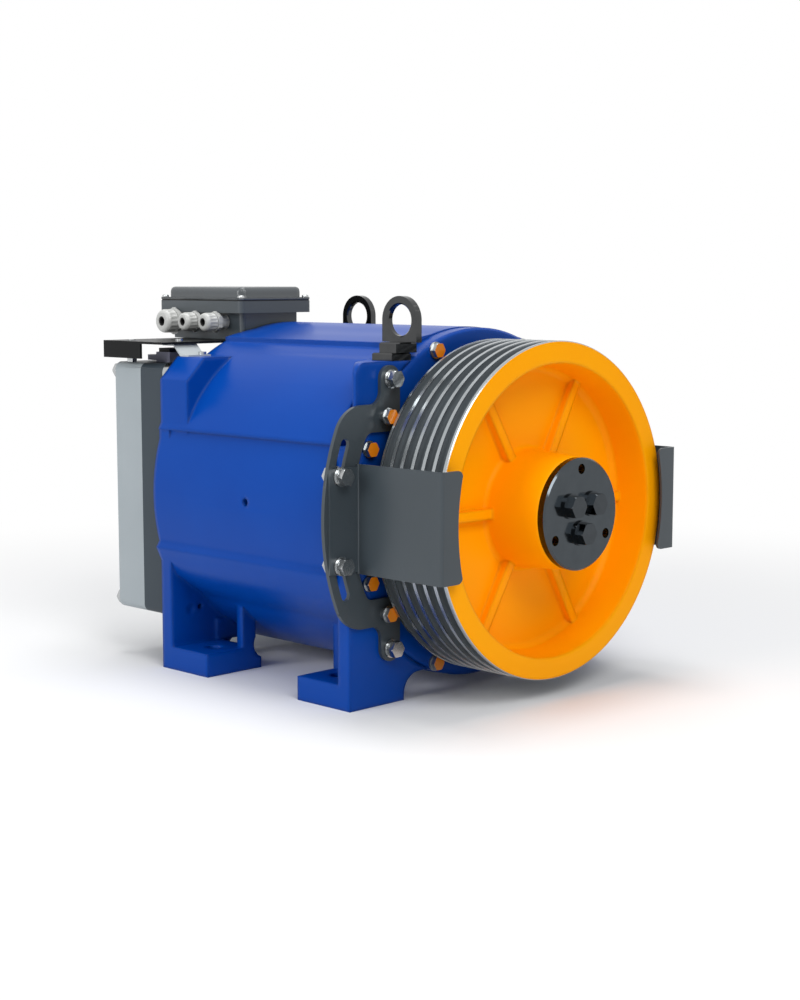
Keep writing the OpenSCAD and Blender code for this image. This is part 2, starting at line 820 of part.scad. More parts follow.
module sheave() {
    color(orange)
        difference() {
            union() {
                // rim, web and hub
                difference() {
                    ycyl(sheave_r, sheave_front, sheave_back);
                    translate([0, sheave_front - cut, shaft_h])
                        rotate([-90, 0, 0])
                            cylinder(r1 = rim_inner_r + 0.1, r2 = rim_inner_r - 5,
                                     h = web_y - sheave_front + cut, $fn = 96);
                    translate([0, web_y + web_t, shaft_h])
                        rotate([-90, 0, 0])
                            cylinder(r1 = rim_inner_r - 5, r2 = rim_inner_r,
                                     h = sheave_back - web_y - web_t + cut, $fn = 96);
                }
                translate([0, hub_front, shaft_h])
                    rotate([-90, 0, 0])
                        cylinder(r1 = hub_r, r2 = hub_r + 6, h = web_y - hub_front + 2, $fn = 96);
                translate([0, web_y - 5, shaft_h])
                    rotate([-90, 0, 0])
                        cylinder(r1 = hub_r + 5, r2 = hub_r + 10, h = 6, $fn = 96);
                ycyl(hub_r, web_y, hub_back);
                // sloping corner between the rim and the web
                difference() {
                    ycyl(rim_inner_r - 1, web_y - 6, web_y + 1);
                    translate([0, web_y - 6.1, shaft_h])
                        rotate([-90, 0, 0])
                            cylinder(r1 = rim_inner_r - 4.4, r2 = rim_inner_r - 11.5, h = 7.2, $fn = 96);
                }
                // ribs on both faces of the web
                for (i = [0 : 5])
                    translate([0, 0, shaft_h])
                        rotate([0, 60 * i, 0]) {
                            xrib_front();
                            xrib_rear();
                        }
            }
            rope_grooves();
            // chamfers of the outer edges
            ring_chamfer(sheave_front, 1);
            ring_chamfer(sheave_back, -1);
            ycyl(shaft_r + slip, hub_front - cut, hub_back + cut);
            block([-key_w / 2 - slip, hub_front - cut, shaft_h],
                  [key_w / 2 + slip, hub_back + cut, shaft_h + shaft_r - 9 + key_h + 0.2]);
            // tapped holes of the clamping plate
            for (a = [90, 210, 330])
                translate([puller_pcd / 2 * cos(a), hub_front - cut, shaft_h + puller_pcd / 2 * sin(a)])
                    rotate([-90, 0, 0])
                        cylinder(r = puller_hole_r - 1, h = 26, $fn = 32);
        }
}

// a rib on the web's front face, along +X
module xrib_front() {
    translate([0, 0, -6])
        linear_extrude(height = 12)
            polygon([[hub_r - 4, web_y + 1], [rim_inner_r + 4, web_y + 1], [rim_inner_r + 4, web_y - rib_rim],
                     [rim_inner_r - 14, web_y - rib_rim], [hub_r - 4, web_y - rib_hub]]);
}

// a rib on the web's rear face, along +X
module xrib_rear() {
    y = web_y + web_t;
    translate([0, 0, -6])
        linear_extrude(height = 12)
            polygon([[hub_r - 4, y - 1], [rim_inner_r + 4, y - 1],
                     [rim_inner_r + 4, y + 10], [hub_r - 4, y + 14]]);
}

// a chamfer cut round the sheave's edge
module ring_chamfer(y, s) {
    translate([0, y, shaft_h])
        rotate([-90, 0, 0])
            rotate_extrude($fn = 128)
                polygon([[sheave_r - 1.5, -s * 0.5], [sheave_r - 1.5, 0], [sheave_r, s * 1.5],
                         [sheave_r + 2, s * 1.5], [sheave_r + 2, -s * 0.5]]);
}

module hub_plate() {
    color(dark_grey)
        difference() {
            union() {
                ycyl(hub_r, hub_plate_y + 2, hub_front);
                translate([0, hub_plate_y, shaft_h])
                    rotate([-90, 0, 0])
                        cylinder(r1 = hub_r - 2, r2 = hub_r, h = 2 + slip, $fn = 96);
            }
            round_shaft(hub_bolt_angles, hub_bolt_r)
                rotate([-90, 0, 0])
                    translate([0, 0, hub_plate_y - cut])
                        cylinder(r = 8.5, h = 20, $fn = 32);
            for (a = [90, 210, 330])
                translate([puller_pcd / 2 * cos(a), hub_plate_y - cut, shaft_h + puller_pcd / 2 * sin(a)])
                    rotate([-90, 0, 0])
                        cylinder(r = puller_hole_r, h = 20, $fn = 32);
        }
}

module hub_bolts() {
    color(black)
        round_shaft(hub_bolt_angles, hub_bolt_r)
            translate([0, hub_plate_y, 0])
                hex_bolt(16, 24, hub_bolt_head, 3, 42);
}

// the region outside a circle of radius q that rounds the corner between radius ro and height h
module band_corner(ro, h, q, y0, y1) {
    cz = h - q;
    cx = sqrt(pow(ro - q, 2) - pow(cz, 2));
    k = (ro + 20) / (ro - q);
    difference() {
        yprism([[cx, shaft_h + cz], [cx * k, shaft_h + cz * k],
                [cx * k, shaft_h + h + 20], [cx, shaft_h + h + 20]], y0, y1);
        ycyl(q, y0 - cut, y1 + cut, cx, shaft_h + cz);
    }
}

// the plate of one bracket's upper half, on the +X side
module bracket_half() {
    y0 = bracket_y;
    y1 = front_y;
    w = lobe_r;
    difference() {
        union() {
            // arc band
            intersection() {
                yring(bracket_out, bracket_in, y0, y1);
                block([100, y0 - cut, shaft_h - 1], [bracket_out + 1, y1 + cut, shaft_h + bracket_half_h]);
            }
            // shoulder towards the leg
            intersection() {
                ycyl(bracket_out, y0, y1);
                union() {
                    block([lobe_x - w + 9, y0, shaft_h + leg_dz],
                          [bracket_out, y1, shaft_h + bracket_half_h]);
                    block([lobe_x - w, y0, shaft_h + leg_dz + 9], [lobe_x, y1, shaft_h + bracket_half_h]);
                }
            }
            ycyl(9, y0, y1, lobe_x - w + 9, shaft_h + leg_dz + 9);
            // leg and lobe
            block([lobe_x - w, y0, shaft_h + leg_dz + 20], [lobe_x + w, y1, shaft_h + lobe_dz]);
            ycyl(lobe_r, y0, y1, lobe_x, shaft_h + lobe_dz);
            // fillet between the leg and the shoulder
            difference() {
                block([lobe_x + w - 0.2, y0, shaft_h + bracket_half_h - 0.2],
                      [lobe_x + w + leg_fillet, y1, shaft_h + bracket_half_h + leg_fillet]);
                ycyl(leg_fillet, y0 - cut, y1 + cut,
                     lobe_x + w + leg_fillet, shaft_h + bracket_half_h + leg_fillet);
            }
            // fillet under the shoulder
            intersection() {
                band_corner(bracket_in + 0.2, leg_dz + 0.2, 14, y0, y1);
                block([100, y0 - cut, shaft_h], [bracket_out - 20, y1 + cut, shaft_h + leg_dz + 1]);
            }
        }
        band_corner(bracket_out, bracket_half_h, 42, y0 - cut, y1 + cut);
        // slot for a guard bolt
        arc_slot(y0 - cut, y1 + cut);
        // holes of the lobe bolt and the shield bolt
        ycyl(6.5, y0 - cut, y1 + cut, lobe_x, shaft_h + lobe_dz);
        ycyl(5.5, y0 - cut, y1 + cut, shield_bolt_r * cos(34.5), shaft_h + shield_bolt_r * sin(34.5));
    }
}

// an arc-shaped slot round the shaft axis
module arc_slot(y0, y1) {
    a0 = slot_inner_angle;
    a1 = slot_angle;
    r = guard_bolt_r;
    q = r * 1.2;
    intersection() {
        yring(r + slot_w / 2, r - slot_w / 2, y0, y1);
        yprism([[0, shaft_h], [q * cos(a0), shaft_h + q * sin(a0)],
                [q * cos(a1), shaft_h + q * sin(a1)]], y0 - cut, y1 + cut);
    }
    for (a = [a0, a1])
        ycyl(slot_w / 2, y0, y1, r * cos(a), shaft_h + r * sin(a));
}

module bracket() {
    bracket_half();
    translate([0, 0, 2 * shaft_h])
        mirror([0, 0, 1])
            bracket_half();
}

module bracket_left() {
    color(dark_grey)
        mirror([1, 0, 0])
            bracket();
}

module bracket_right() {
    color(dark_grey)
        bracket();
}

module bracket_bolts() {
    color(steel)
        for (x = [-lobe_x, lobe_x])
            for (z = [-lobe_dz, lobe_dz])
                translate([x, bracket_y, shaft_h + z])
                    hex_bolt(12, m12_af, m12_head, m12_washer, bracket_t + 24, m12_lock);
}

// the guard on the +X side
module guard() {
    x1 = guard_x;
    x0 = x1 - sheet_t;
    y1 = bracket_y;
    z0 = shaft_h - guard_h / 2;
    z1 = shaft_h + guard_h / 2;
    difference() {
        union() {
            // web along the rim
            block([x0, guard_front + bend_r, z0], [x1, y1 - bend_r, z1]);
            // tab on the bracket
            block([x1 + bend_in, y1 - sheet_t, z0 + 3], [tab_out, y1, z1 - 3]);
            // rounded bends
            bend(x1 + bend_in, y1 - bend_r, bend_r, -1, 1, z0, z1);
            bend(x0 - bend_in, guard_front + bend_r, bend_r, 1, -1, z0, z1);
            // lip in front of the rim
            difference() {
                guard_lip(x1 - lip_reach, x0 - bend_in, z0, z1);
                ycyl(lip_r, guard_front - cut, guard_front + sheet_t + cut, lip_cx);
            }
        }
        for (s = [-1, 1])
            ycyl(6.5, y1 - 10, y1 + cut,
                 guard_bolt_r * cos(guard_bolt_angle), shaft_h + s * guard_bolt_r * sin(guard_bolt_angle));
    }
}

// the guard's lip with its two rounded corners
module guard_lip(xa, xb, z0, z1) {
    y0 = guard_front;
    y1 = guard_front + sheet_t;
    q = lip_corner;
    block([xa + q, y0, z0], [xb, y1, z1]);
    block([xa, y0, z0 + q], [xb, y1, z1 - q]);
    for (z = [z0 + q, z1 - q])
        ycyl(q, y0, y1, xa + q, z);
}

// a quarter of a tube along Z that joins two sheets
module bend(x, y, r, sx, sy, z0, z1) {
    intersection() {
        difference() {
            translate([x, y, z0])
                cylinder(r = r, h = z1 - z0, $fn = 48);
            translate([x, y, z0 - cut])
                cylinder(r = r - sheet_t, h = z1 - z0 + 2 * cut, $fn = 48);
        }
        block([min(x, x + sx * r), min(y, y + sy * r), z0], [max(x, x + sx * r), max(y, y + sy * r), z1]);
    }
}

module guard_bolts() {
    r = guard_bolt_r;
    for (s = [-1, 1])
        translate([r * cos(guard_bolt_angle), bracket_y - sheet_t, shaft_h + s * r * sin(guard_bolt_angle)]) {
            hex_bolt(12, m12_af, m12_head, m12_washer, sheet_t + bracket_t + 14, m12_lock);
            // washer and nut behind the bracket
            translate([0, sheet_t + bracket_t, 0])
                rotate([-90, 0, 0]) {
                    cylinder(r = 11.5, h = 2.5, $fn = 48);
                    cylinder(d = m12_af / cos(30), h = 12, $fn = 6);
                }
        }
}

module guard_left() {
    color(dark_grey)
        mirror([1, 0, 0])
            guard();
}

module guard_right() {
    color(dark_grey)
        guard();
}

module guard_left_bolts() {
    color(steel)
        mirror([1, 0, 0])
            guard_bolts();
}

module guard_right_bolts() {
    color(steel)
        guard_bolts();
}

// a lifting eye that stands on a pad at z = 0
module lifting_eye(len) {
    h = eye_hole_h;
    difference() {
        union() {
            ycylx(eye_r, h);
            block([-eye_t / 2, -eye_r, eye_foot_h], [eye_t / 2, eye_r, h]);
            chamfer_block([-22, -12.5, eye_base_t - 0.1], [12, 15, eye_foot_h], 1.5);
            chamfer_block([-29, -12.5, 0], [2.5, 20, eye_base_t], 1.5);
            // stud into the housing
            translate([-eye_stud_x, eye_stud_y, -eye_stud_len])
                cylinder(r = eye_stud_r, h = eye_stud_len + 1, $fn = 32);
        }
        rotate([0, 90, 0])
            translate([-h, 0, -20])
                cylinder(r = eye_hole_r, h = 40, $fn = 64);
        // rounded edges of the eye
        eye_edge(h, 1);
        eye_edge(h, -1);
    }
}

// the round head of an eye
module ycylx(r, h) {
    rotate([0, 90, 0])
        translate([-h, 0, -eye_t / 2])
            cylinder(r = r, h = eye_t, $fn = 96);
}

// a chamfer round the bore of the eye
module eye_edge(h, s) {
    translate([s * (eye_t / 2 - 1.5), 0, h])
        rotate([0, s * 90, 0])
            cylinder(r1 = eye_hole_r, r2 = eye_hole_r + 1.6, h = 1.6, $fn = 64);
}

// a block with chamfered upper edges
module chamfer_block(low, high, c) {
    difference() {
        block(low, high);
        for (s = [0, 1]) {
            y = s == 0 ? low[1] : high[1];
            translate([low[0] - cut, y, high[2]])
                rotate([45, 0, 0])
                    translate([0, -c * 0.71, -c * 0.71])
                        cube([high[0] - low[0] + 2 * cut, c * 1.42, c * 1.42]);
            x = s == 0 ? low[0] : high[0];
            translate([x, low[1] - cut, high[2]])
                rotate([0, 45, 0])
                    translate([-c * 0.71, 0, -c * 0.71])
                        cube([c * 1.42, high[1] - low[1] + 2 * cut, c * 1.42]);
        }
    }
}

module lifting_eye_front() {
    color(dark_grey)
        translate([-eye_x, front_eye_y, front_block_z])
            lifting_eye();
}

module lifting_eye_rear() {
    color(dark_grey)
        translate([eye_x, rear_eye_y, rear_block_z])
            rotate([0, 0, 180])
                lifting_eye();
}

module terminal_box() {
    x1 = box_x + box_w;
    y1 = box_y + box_l;
    z0 = roof_top;
    z1 = roof_top + box_h;
    r = rim_over;
    color(dark_grey)
        difference() {
            union() {
                round_box([box_x, box_y, z0], [x1, y1, z1], 6);
                round_box([box_x - r, box_y - r, z1], [x1 + r, y1 + r, z1 + rim_h], 8);
            }
            round_box([box_x + box_wall, box_y + box_wall, z0 + 4],
                      [x1 - box_wall, y1 - box_wall, z1 + rim_h + cut], 4);
            // entries of the glands
            for (i = [0 : 2])
                xcyl(gland_r[i] - 2, box_x - cut, box_x + box_wall + cut, gland_y[i], gland_z);
            // cable entry in the floor and holes of the fixing screws
            translate([box_x + 62, box_y + 24, z0 - cut])
                cylinder(r = 14, h = 6 + cut, $fn = 48);
            for (x = [box_x + 14, x1 - 14])
                for (y = [box_y + 12, y1 - 44])
                    translate([x, y, z0 - cut])
                        cylinder(r = 2.7, h = 6 + cut, $fn = 32);
            // tapped holes of the lid
            for (x = lid_x)
                for (y = lid_y)
                    translate([x, y, z1 + 2])
                        cylinder(r = 2.5 + slip, h = rim_h, $fn = 32);
        }
}

// a box with rounded upright edges
module round_box(low, high, r) {
    block([low[0] + r, low[1], low[2]], [high[0] - r, high[1], high[2]]);
    block([low[0], low[1] + r, low[2]], [high[0], high[1] - r, high[2]]);
    for (x = [low[0] + r, high[0] - r])
        for (y = [low[1] + r, high[1] - r])
            translate([x, y, low[2]])
                cylinder(r = r, h = high[2] - low[2], $fn = 48);
}

module lid_gasket() {
    x1 = box_x + box_w;
    y1 = box_y + box_l;
    z = roof_top + box_h + rim_h;
    color(black)
        difference() {
            round_box([box_x - 2.5, box_y - 2.5, z], [x1 + 2.5, y1 + 2.5, z + gasket_t], 5);
            round_box([box_x + 2, box_y + 2, z - cut], [x1 - 2, y1 - 2, z + gasket_t + cut], 4);
        }
}

module terminal_box_lid() {
    x0 = box_x - rim_over;
    y0 = box_y - rim_over;
    x1 = box_x + box_w + rim_over;
    y1 = box_y + box_l + rim_over;
    z = roof_top + box_h + rim_h + gasket_t;
    t = 3;
    color(dark_grey)
        difference() {
            union() {
                round_box([x0, y0, z], [x1, y1, z + t], 8);
                // raised middle with rounded edges
                lid_dome([x0 + dome_inset, y0 + dome_inset, z + t - 0.1],
                         [x1 - dome_inset, y1 - dome_inset, z + lid_h], 8);
            }
            round_box([box_x + 6, box_y + 6, z - cut],
                      [box_x + box_w - 6, box_y + box_l - 6, z + lid_h - 3.5], 6);
            // notches over the screws
            for (x = lid_x)
                for (y = lid_y) {
                    translate([x, y, z + t])
                        cylinder(r = screw_room, h = lid_h, $fn = 48);
                    translate([x, y, z - cut])
                        cylinder(r = 3, h = t + 2 * cut, $fn = 32);
                }
        }
}

// a block whose upper and upright edges are rounded
module lid_dome(low, high, r) {
    z = high[2] - r;
    round_box([low[0], low[1], low[2]], [high[0], high[1], z], r);
    for (x = [low[0] + r, high[0] - r]) {
        translate([x, low[1] + r, z])
            rotate([-90, 0, 0])
                cylinder(r = r, h = high[1] - low[1] - 2 * r, $fn = 48);
        for (y = [low[1] + r, high[1] - r])
            translate([x, y, z])
                sphere(r = r, $fn = 48);
    }
    for (y = [low[1] + r, high[1] - r])
        translate([low[0] + r, y, z])
            rotate([0, 90, 0])
                cylinder(r = r, h = high[0] - low[0] - 2 * r, $fn = 48);
    block([low[0] + r, low[1] + r, low[2]], [high[0] - r, high[1] - r, high[2]]);
}

module lid_screws() {
    z = roof_top + box_h + rim_h + gasket_t + 3;
    color(zinc)
        for (x = lid_x)
            for (y = lid_y)
                translate([x, y, z])
                    difference() {
                        union() {
                            cylinder(r = 4.6, h = 3.4, $fn = 32);
                            translate([0, 0, -17])
                                cylinder(r = 2.5, h = 18, $fn = 32);
                        }
                        translate([0, 0, 1.6])
                            cylinder(r = 2.4, h = 4, $fn = 6);
                    }
}

module terminal_block() {
    color(light_grey)
        difference() {
            block([box_x + 20, box_y + 34, roof_top + 4], [box_x + 52, box_y + box_l - 16, roof_top + 26]);
            for (i = [0 : 7])
                translate([0, box_y + 40 + i * 11, 0]) {
                    block([box_x + 16, -0.8, roof_top + 18], [box_x + 56, 0.8, roof_top + 28]);
                    translate([box_x + 28, 5, roof_top + 14])
                        cylinder(r = 2.6, h = 14, $fn = 24);
                    translate([box_x + 44, 5, roof_top + 14])
                        cylinder(r = 2.6, h = 14, $fn = 24);
                }
        }
}

module gland_bodies() {
    color(light_grey)
        for (i = [0 : 2]) {
            r = gland_r[i];
            y = gland_y[i];
            difference() {
                union() {
                    // neck, hexagon, collar and thread
                    xcyl(r * 0.75, box_x - neck_len, box_x, y, gland_z);
                    translate([box_x - neck_len, y, gland_z])
                        rotate([0, -90, 0]) {
                            cylinder(r = r * 1.18, h = 5, $fn = 6);
                            cylinder(r = r * 1.06, h = 6.5, $fn = 48);
                        }
                    xcyl(r - 2.3, box_x - neck_len - 11, box_x - neck_len, y, gland_z);
                    xcyl(r - 2.3, box_x - 0.4, box_x + box_wall + 6, y, gland_z);
                }
                xcyl(gland_bore[i] + 1, box_x - 60, box_x + box_wall + 8, y, gland_z);
            }
            // nut inside the box
            difference() {
                translate([box_x + box_wall, y, gland_z])
                    rotate([0, 90, 0])
                        cylinder(r = r * 1.15, h = 5, $fn = 6);
                xcyl(r - 2.5, box_x, box_x + box_wall + 8, y, gland_z);
            }
        }
}

module gland_nuts() {
    color(light_grey)
        for (i = [0 : 2]) {
            r = gland_r[i];
            difference() {
                translate([box_x - neck_len - 7, gland_y[i], gland_z])
                    rotate([0, -90, 0]) {
                        intersection() {
                            cylinder(r = r * 1.16, h = 8, $fn = 6);
                            cylinder(r1 = r * 1.14, r2 = r * 1.04, h = 8, $fn = 48);
                        }
                        translate([0, 0, 8])
                            cylinder(r1 = r, r2 = r * 0.96, h = 3, $fn = 48);
                        translate([0, 0, 11])
                            cylinder(r1 = r * 0.96, r2 = r * 0.84, h = 3.5, $fn = 48);
                        translate([0, 0, 14.5])
                            cylinder(r1 = r * 0.84, r2 = r * 0.6, h = gland_end - 2.5, $fn = 48);
                    }
                xcyl(r - 2.2, box_x - neck_len - 12, box_x, gland_y[i], gland_z);
                xcyl(gland_bore[i] + 1.5, box_x - 60, box_x, gland_y[i], gland_z);
            }
        }
}

module gland_seals() {
    color(black)
        for (i = [0 : 2])
            difference() {
                xcyl(gland_bore[i] + 1.4, gland_seal_x, box_x - neck_len - 12.2, gland_y[i], gland_z);
                xcyl(gland_bore[i], box_x - 60, box_x, gland_y[i], gland_z);
            }
}

module roof_plate() {
    z0 = roof_top - roof_t;
    y0 = rear_y + 2;
    color(black)
        difference() {
            union() {
                block([-roof_half_w, y0, z0], [roof_half_w, roof_back, roof_top]);
                for (s = [-1, 1])
                    block([s * (roof_half_w - roof_t / 2) - roof_t / 2, y0 + lip_start, roof_top - roof_lip],
                          [s * (roof_half_w - roof_t / 2) + roof_t / 2, roof_back, roof_top]);
            }
            // notch at the rear lifting eye
            block([eye_x - 10, y0 - cut, z0 - cut], [eye_x + 10, rear_eye_y + eye_r + 4, roof_top + cut]);
            // cable entry and screw holes
            translate([box_x + 62, box_y + 24, z0 - cut])
                cylinder(r = 14, h = roof_t + 2 * cut, $fn = 48);
            for (x = [-tab_x, tab_x])
                translate([x, roof_screw_y, z0 - cut])
                    cylinder(r = 3.3, h = roof_t + 2 * cut, $fn = 32);
            for (x = post_x)
                translate([x, post_y, z0 - cut])
                    cylinder(r = 3.3, h = roof_t + 2 * cut, $fn = 32);
            for (x = [box_x + 14, box_x + box_w - 14])
                for (y = [box_y + 12, box_y + box_l - 44])
                    translate([x, y, z0 - cut])
                        cylinder(r = 2.5, h = roof_t + 2 * cut, $fn = 32);
        }
}

// sloping tabs from the housing's rear blocks to the roof plate
module roof_tabs() {
    z0 = rear_block_z;
    z1 = roof_top - roof_t;
    y0 = rear_y - 22;
    t = 2;
    color(light_grey)
        for (s = [-1, 1])
            difference() {
                xprism([[y0, z0], [y0 + 16, z0], [y0 + 30, z1 - t], [y0 + 52, z1 - t], [y0 + 52, z1],
                        [y0 + 29, z1], [y0 + 15, z0 + t], [y0, z0 + t]],
                       s * tab_x - tab_w / 2, s * tab_x + tab_w / 2);
                translate([s * (tab_x - 10), y0 + 7, z0 - cut])
                    cylinder(r = 3.3, h = 5, $fn = 32);
                translate([s * tab_x, roof_screw_y, z1 - 5])
                    cylinder(r = 3.3, h = 8, $fn = 32);
            }
}

module roof_posts() {
    color(zinc)
        for (x = post_x)
            translate([x, post_y, brake_z + brake_half_h])
                difference() {
                    cylinder(r = 7, h = roof_top - roof_t - brake_z - brake_half_h, $fn = 6);
                    translate([0, 0, 8])
                        cylinder(r = 3.05, h = 40, $fn = 32);
                }
}

module round_screw(len, head = 3.4) {
    cylinder(r = 5.2, h = head, $fn = 32);
    translate([0, 0, -len])
        cylinder(r = 3, h = len + 1, $fn = 32);
}

module roof_screws() {
    color(zinc) {
        for (s = [-1, 1]) {
            translate([s * (tab_x - 10), rear_y - 15, rear_block_z + 2])
                round_screw(12);
            translate([s * tab_x, roof_screw_y, roof_top])
                round_screw(9);
        }
        for (x = post_x)
            translate([x, post_y, roof_top])
                round_screw(12, 1.2);
        for (x = [box_x + 14, box_x + box_w - 14])
            for (y = [box_y + 12, box_y + box_l - 44])
                translate([x, y, roof_top + 4]) {
                    cylinder(r = 4.5, h = 2.6, $fn = 32);
                    translate([0, 0, -9])
                        cylinder(r = 2.4, h = 10, $fn = 32);
                }
    }
}

module brake_frame() {
    z0 = brake_z - brake_half_h;
    z1 = brake_z + brake_half_h;
    color(dark_grey)
        difference() {
            yslab(brake_half_w, z0, z1, brake_y, magnet_y, 10);
            yslab(opening_half_w, brake_z - opening_half_h, brake_z + opening_half_h,
                  brake_y + brake_plate_t, magnet_y + cut, 14);
            ycyl(36, brake_y - cut, brake_y + 20);
            brake_bolt_holes(brake_y - cut, magnet_y + cut, 6.5);
        }
}

module brake_bolt_holes(y0, y1, r) {
    for (x = [-brake_bolt_x, brake_bolt_x])
        for (z = [brake_z - brake_bolt_dz, brake_z + brake_bolt_dz])
            ycyl(r, y0, y1, x, z);
}

module brake_magnet() {
    z0 = brake_z - brake_half_h;
    z1 = brake_z + brake_half_h;
    color(light_grey)
        difference() {
            yslab(brake_half_w, z0, z1, magnet_y, brake_back, 10);
            brake_bolt_holes(magnet_y - cut, brake_back + cut, 6.5);
            ycyl(stub_r + 8, magnet_y - cut, brake_back + cut);
            for (s = [-1, 1]) {
                // coil grooves
                yring(coil_r, coil_in, magnet_y - cut, magnet_y + coil_depth, s * coil_x, brake_z);
                for (x = spring_x)
                    for (z = [-spring_dz, spring_dz])
                        ycyl(spring_r + clear, magnet_y - cut, magnet_y + spring_depth, s * x, brake_z + z);
                for (z = [-pin_dz, pin_dz])
                    ycyl(pin_r + slip, magnet_y - cut, magnet_y + 30, s * pin_x, brake_z + z);
            }
            // pockets of the switches in the top face
            for (s = [-1, 1])
                block([s * switch_x - 17, magnet_y - cut, z1 - 4],
                      [s * switch_x + 17, magnet_y + 16, z1 + cut]);
        }
}

module brake_coils() {
    color(copper)
        for (s = [-1, 1])
            yring(coil_r - clear, coil_in + clear, magnet_y + 1, magnet_y + coil_depth - slip,
                  s * coil_x, brake_z);
}

// an armature plate on the +X side
module armature() {
    y0 = armature_y;
    y1 = armature_y + armature_t;
    difference() {
        intersection() {
            yslab(armature_half_w, brake_z - armature_half_h, brake_z + armature_half_h, y0, y1, 12);
            block([2, y0 - cut, 0], [armature_half_w + 5, y1 + cut, 2 * shaft_h + 100]);
        }
        ycyl(40, y0 - cut, y1 + cut, 0, brake_z);
        for (z = [-pin_dz, pin_dz])
            ycyl(pin_r + clear, y0 - cut, y1 + cut, pin_x, brake_z + z);
    }
}

module armature_left() {
    color(steel)
        mirror([1, 0, 0])
            armature();
}

module armature_right() {
    color(steel)
        armature();
}

module brake_springs() {
    color(steel)
        for (s = [-1, 1])
            for (x = spring_x)
                for (z = [-spring_dz, spring_dz])
                    yring(spring_r, spring_r - 2.5, magnet_y + 0.5, magnet_y + spring_depth,
                          s * x, brake_z + z);
}

module guide_pins() {
    color(zinc)
        for (x = [-pin_x, pin_x])
            for (z = [brake_z - pin_dz, brake_z + pin_dz])
                ycyl(pin_r, armature_y + 2, magnet_y + 29, x, z);
}

module brake_disc() {
    color(dark_grey)
        difference() {
            ycyl(disc_r, disc_y, disc_y + disc_t);
            translate([0, disc_y - cut, shaft_h])
                rotate([-90, 0, 0])
                    cylinder(d = hub_hex + 0.4, h = disc_t + 2 * cut, $fn = 6);
        }
}

module brake_hub() {
    color(steel)
        difference() {
            translate([0, disc_y - 3, shaft_h])
                rotate([-90, 0, 0])
                    cylinder(d = hub_hex, h = disc_t + 6, $fn = 6);
            ycyl(26 + slip, disc_y - 4, disc_y + disc_t + 5);
        }
}

module brake_sleeves() {
    color(zinc)
        for (x = [-brake_bolt_x, brake_bolt_x])
            for (z = [brake_z - brake_bolt_dz, brake_z + brake_bolt_dz])
                yring(14, 6.5, rear_y, brake_y, x, z);
}

module brake_bolts() {
    color(zinc)
        for (x = [-brake_bolt_x, brake_bolt_x])
            for (z = [brake_z - brake_bolt_dz, brake_z + brake_bolt_dz])
                translate([x, brake_back, z])
                    rotate([0, 0, 180])
                        hex_bolt(12, m12_af, m12_head, m12_washer, brake_back - rear_y + brake_bolt_in);
}

// a switch body on the brake's top with its plunger against the armature
module switch_body(s) {
    z1 = brake_z + brake_half_h;
    color(switch_grey)
        block([s * switch_x - 15, magnet_y - 16, z1], [s * switch_x + 15, magnet_y + 12, z1 + 13]);
    color(black) {
        block([s * switch_x - 12, magnet_y - 12, z1 + 13], [s * switch_x + 12, magnet_y + 10, z1 + 18]);
        block([s * switch_x - 15, magnet_y + 12, z1 + 2], [s * switch_x + 15, magnet_y + 30, z1 + 9]);
    }
}

module brake_switches() {
    switch_body(-1);
    switch_body(1);
}

module encoder_housing() {
    y0 = brake_back;
    color(black)
        difference() {
            union() {
                ycyl(encoder_r, y0, y0 + encoder_len);
                ycyl(encoder_r + 12, y0, y0 + 6);
                for (a = [45 : 90 : 315])
                    translate([(encoder_r + 6) * cos(a), y0 + 6, shaft_h + (encoder_r + 6) * sin(a)])
                        rotate([-90, 0, 0])
                            cylinder(r = 3.5, h = 3, $fn = 32);
            }
            ycyl(encoder_r - 4, y0 - cut, y0 + encoder_len - 4);
        }
}

module encoder_disc() {
    color(steel) {
        yring(encoder_r - 6, stub_r + slip, brake_back + 14, brake_back + 17);
        yring(stub_r + 6, stub_r + slip, brake_back + 8, brake_back + 22);
    }
}

housing();
front_shield();
rear_shield();
front_shield_bolts();
rear_shield_bolts();
front_seal();
front_bearing_cap();
front_bearing_outer();
front_bearing_inner();
front_bearing_balls();
rear_bearing_outer();
rear_bearing_inner();
rear_bearing_balls();
stator_core();
windings();
rotor_core();
magnets();
shaft();
sheave();
sheave_key();
hub_plate();
hub_bolts();
bracket_left();
bracket_right();
bracket_bolts();
guard_left();
guard_left_bolts();
guard_right();
guard_right_bolts();
lifting_eye_front();
lifting_eye_rear();
terminal_box();
terminal_box_lid();
lid_screws();
lid_gasket();
terminal_block();
gland_bodies();
gland_nuts();
gland_seals();
roof_plate();
roof_tabs();
roof_posts();
roof_screws();
brake_frame();
brake_magnet();
brake_coils();
armature_left();
armature_right();
brake_springs();
guide_pins();
brake_disc();
brake_hub();
brake_sleeves();
brake_bolts();
brake_switches();
encoder_housing();
encoder_disc();
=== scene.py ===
import json
import math

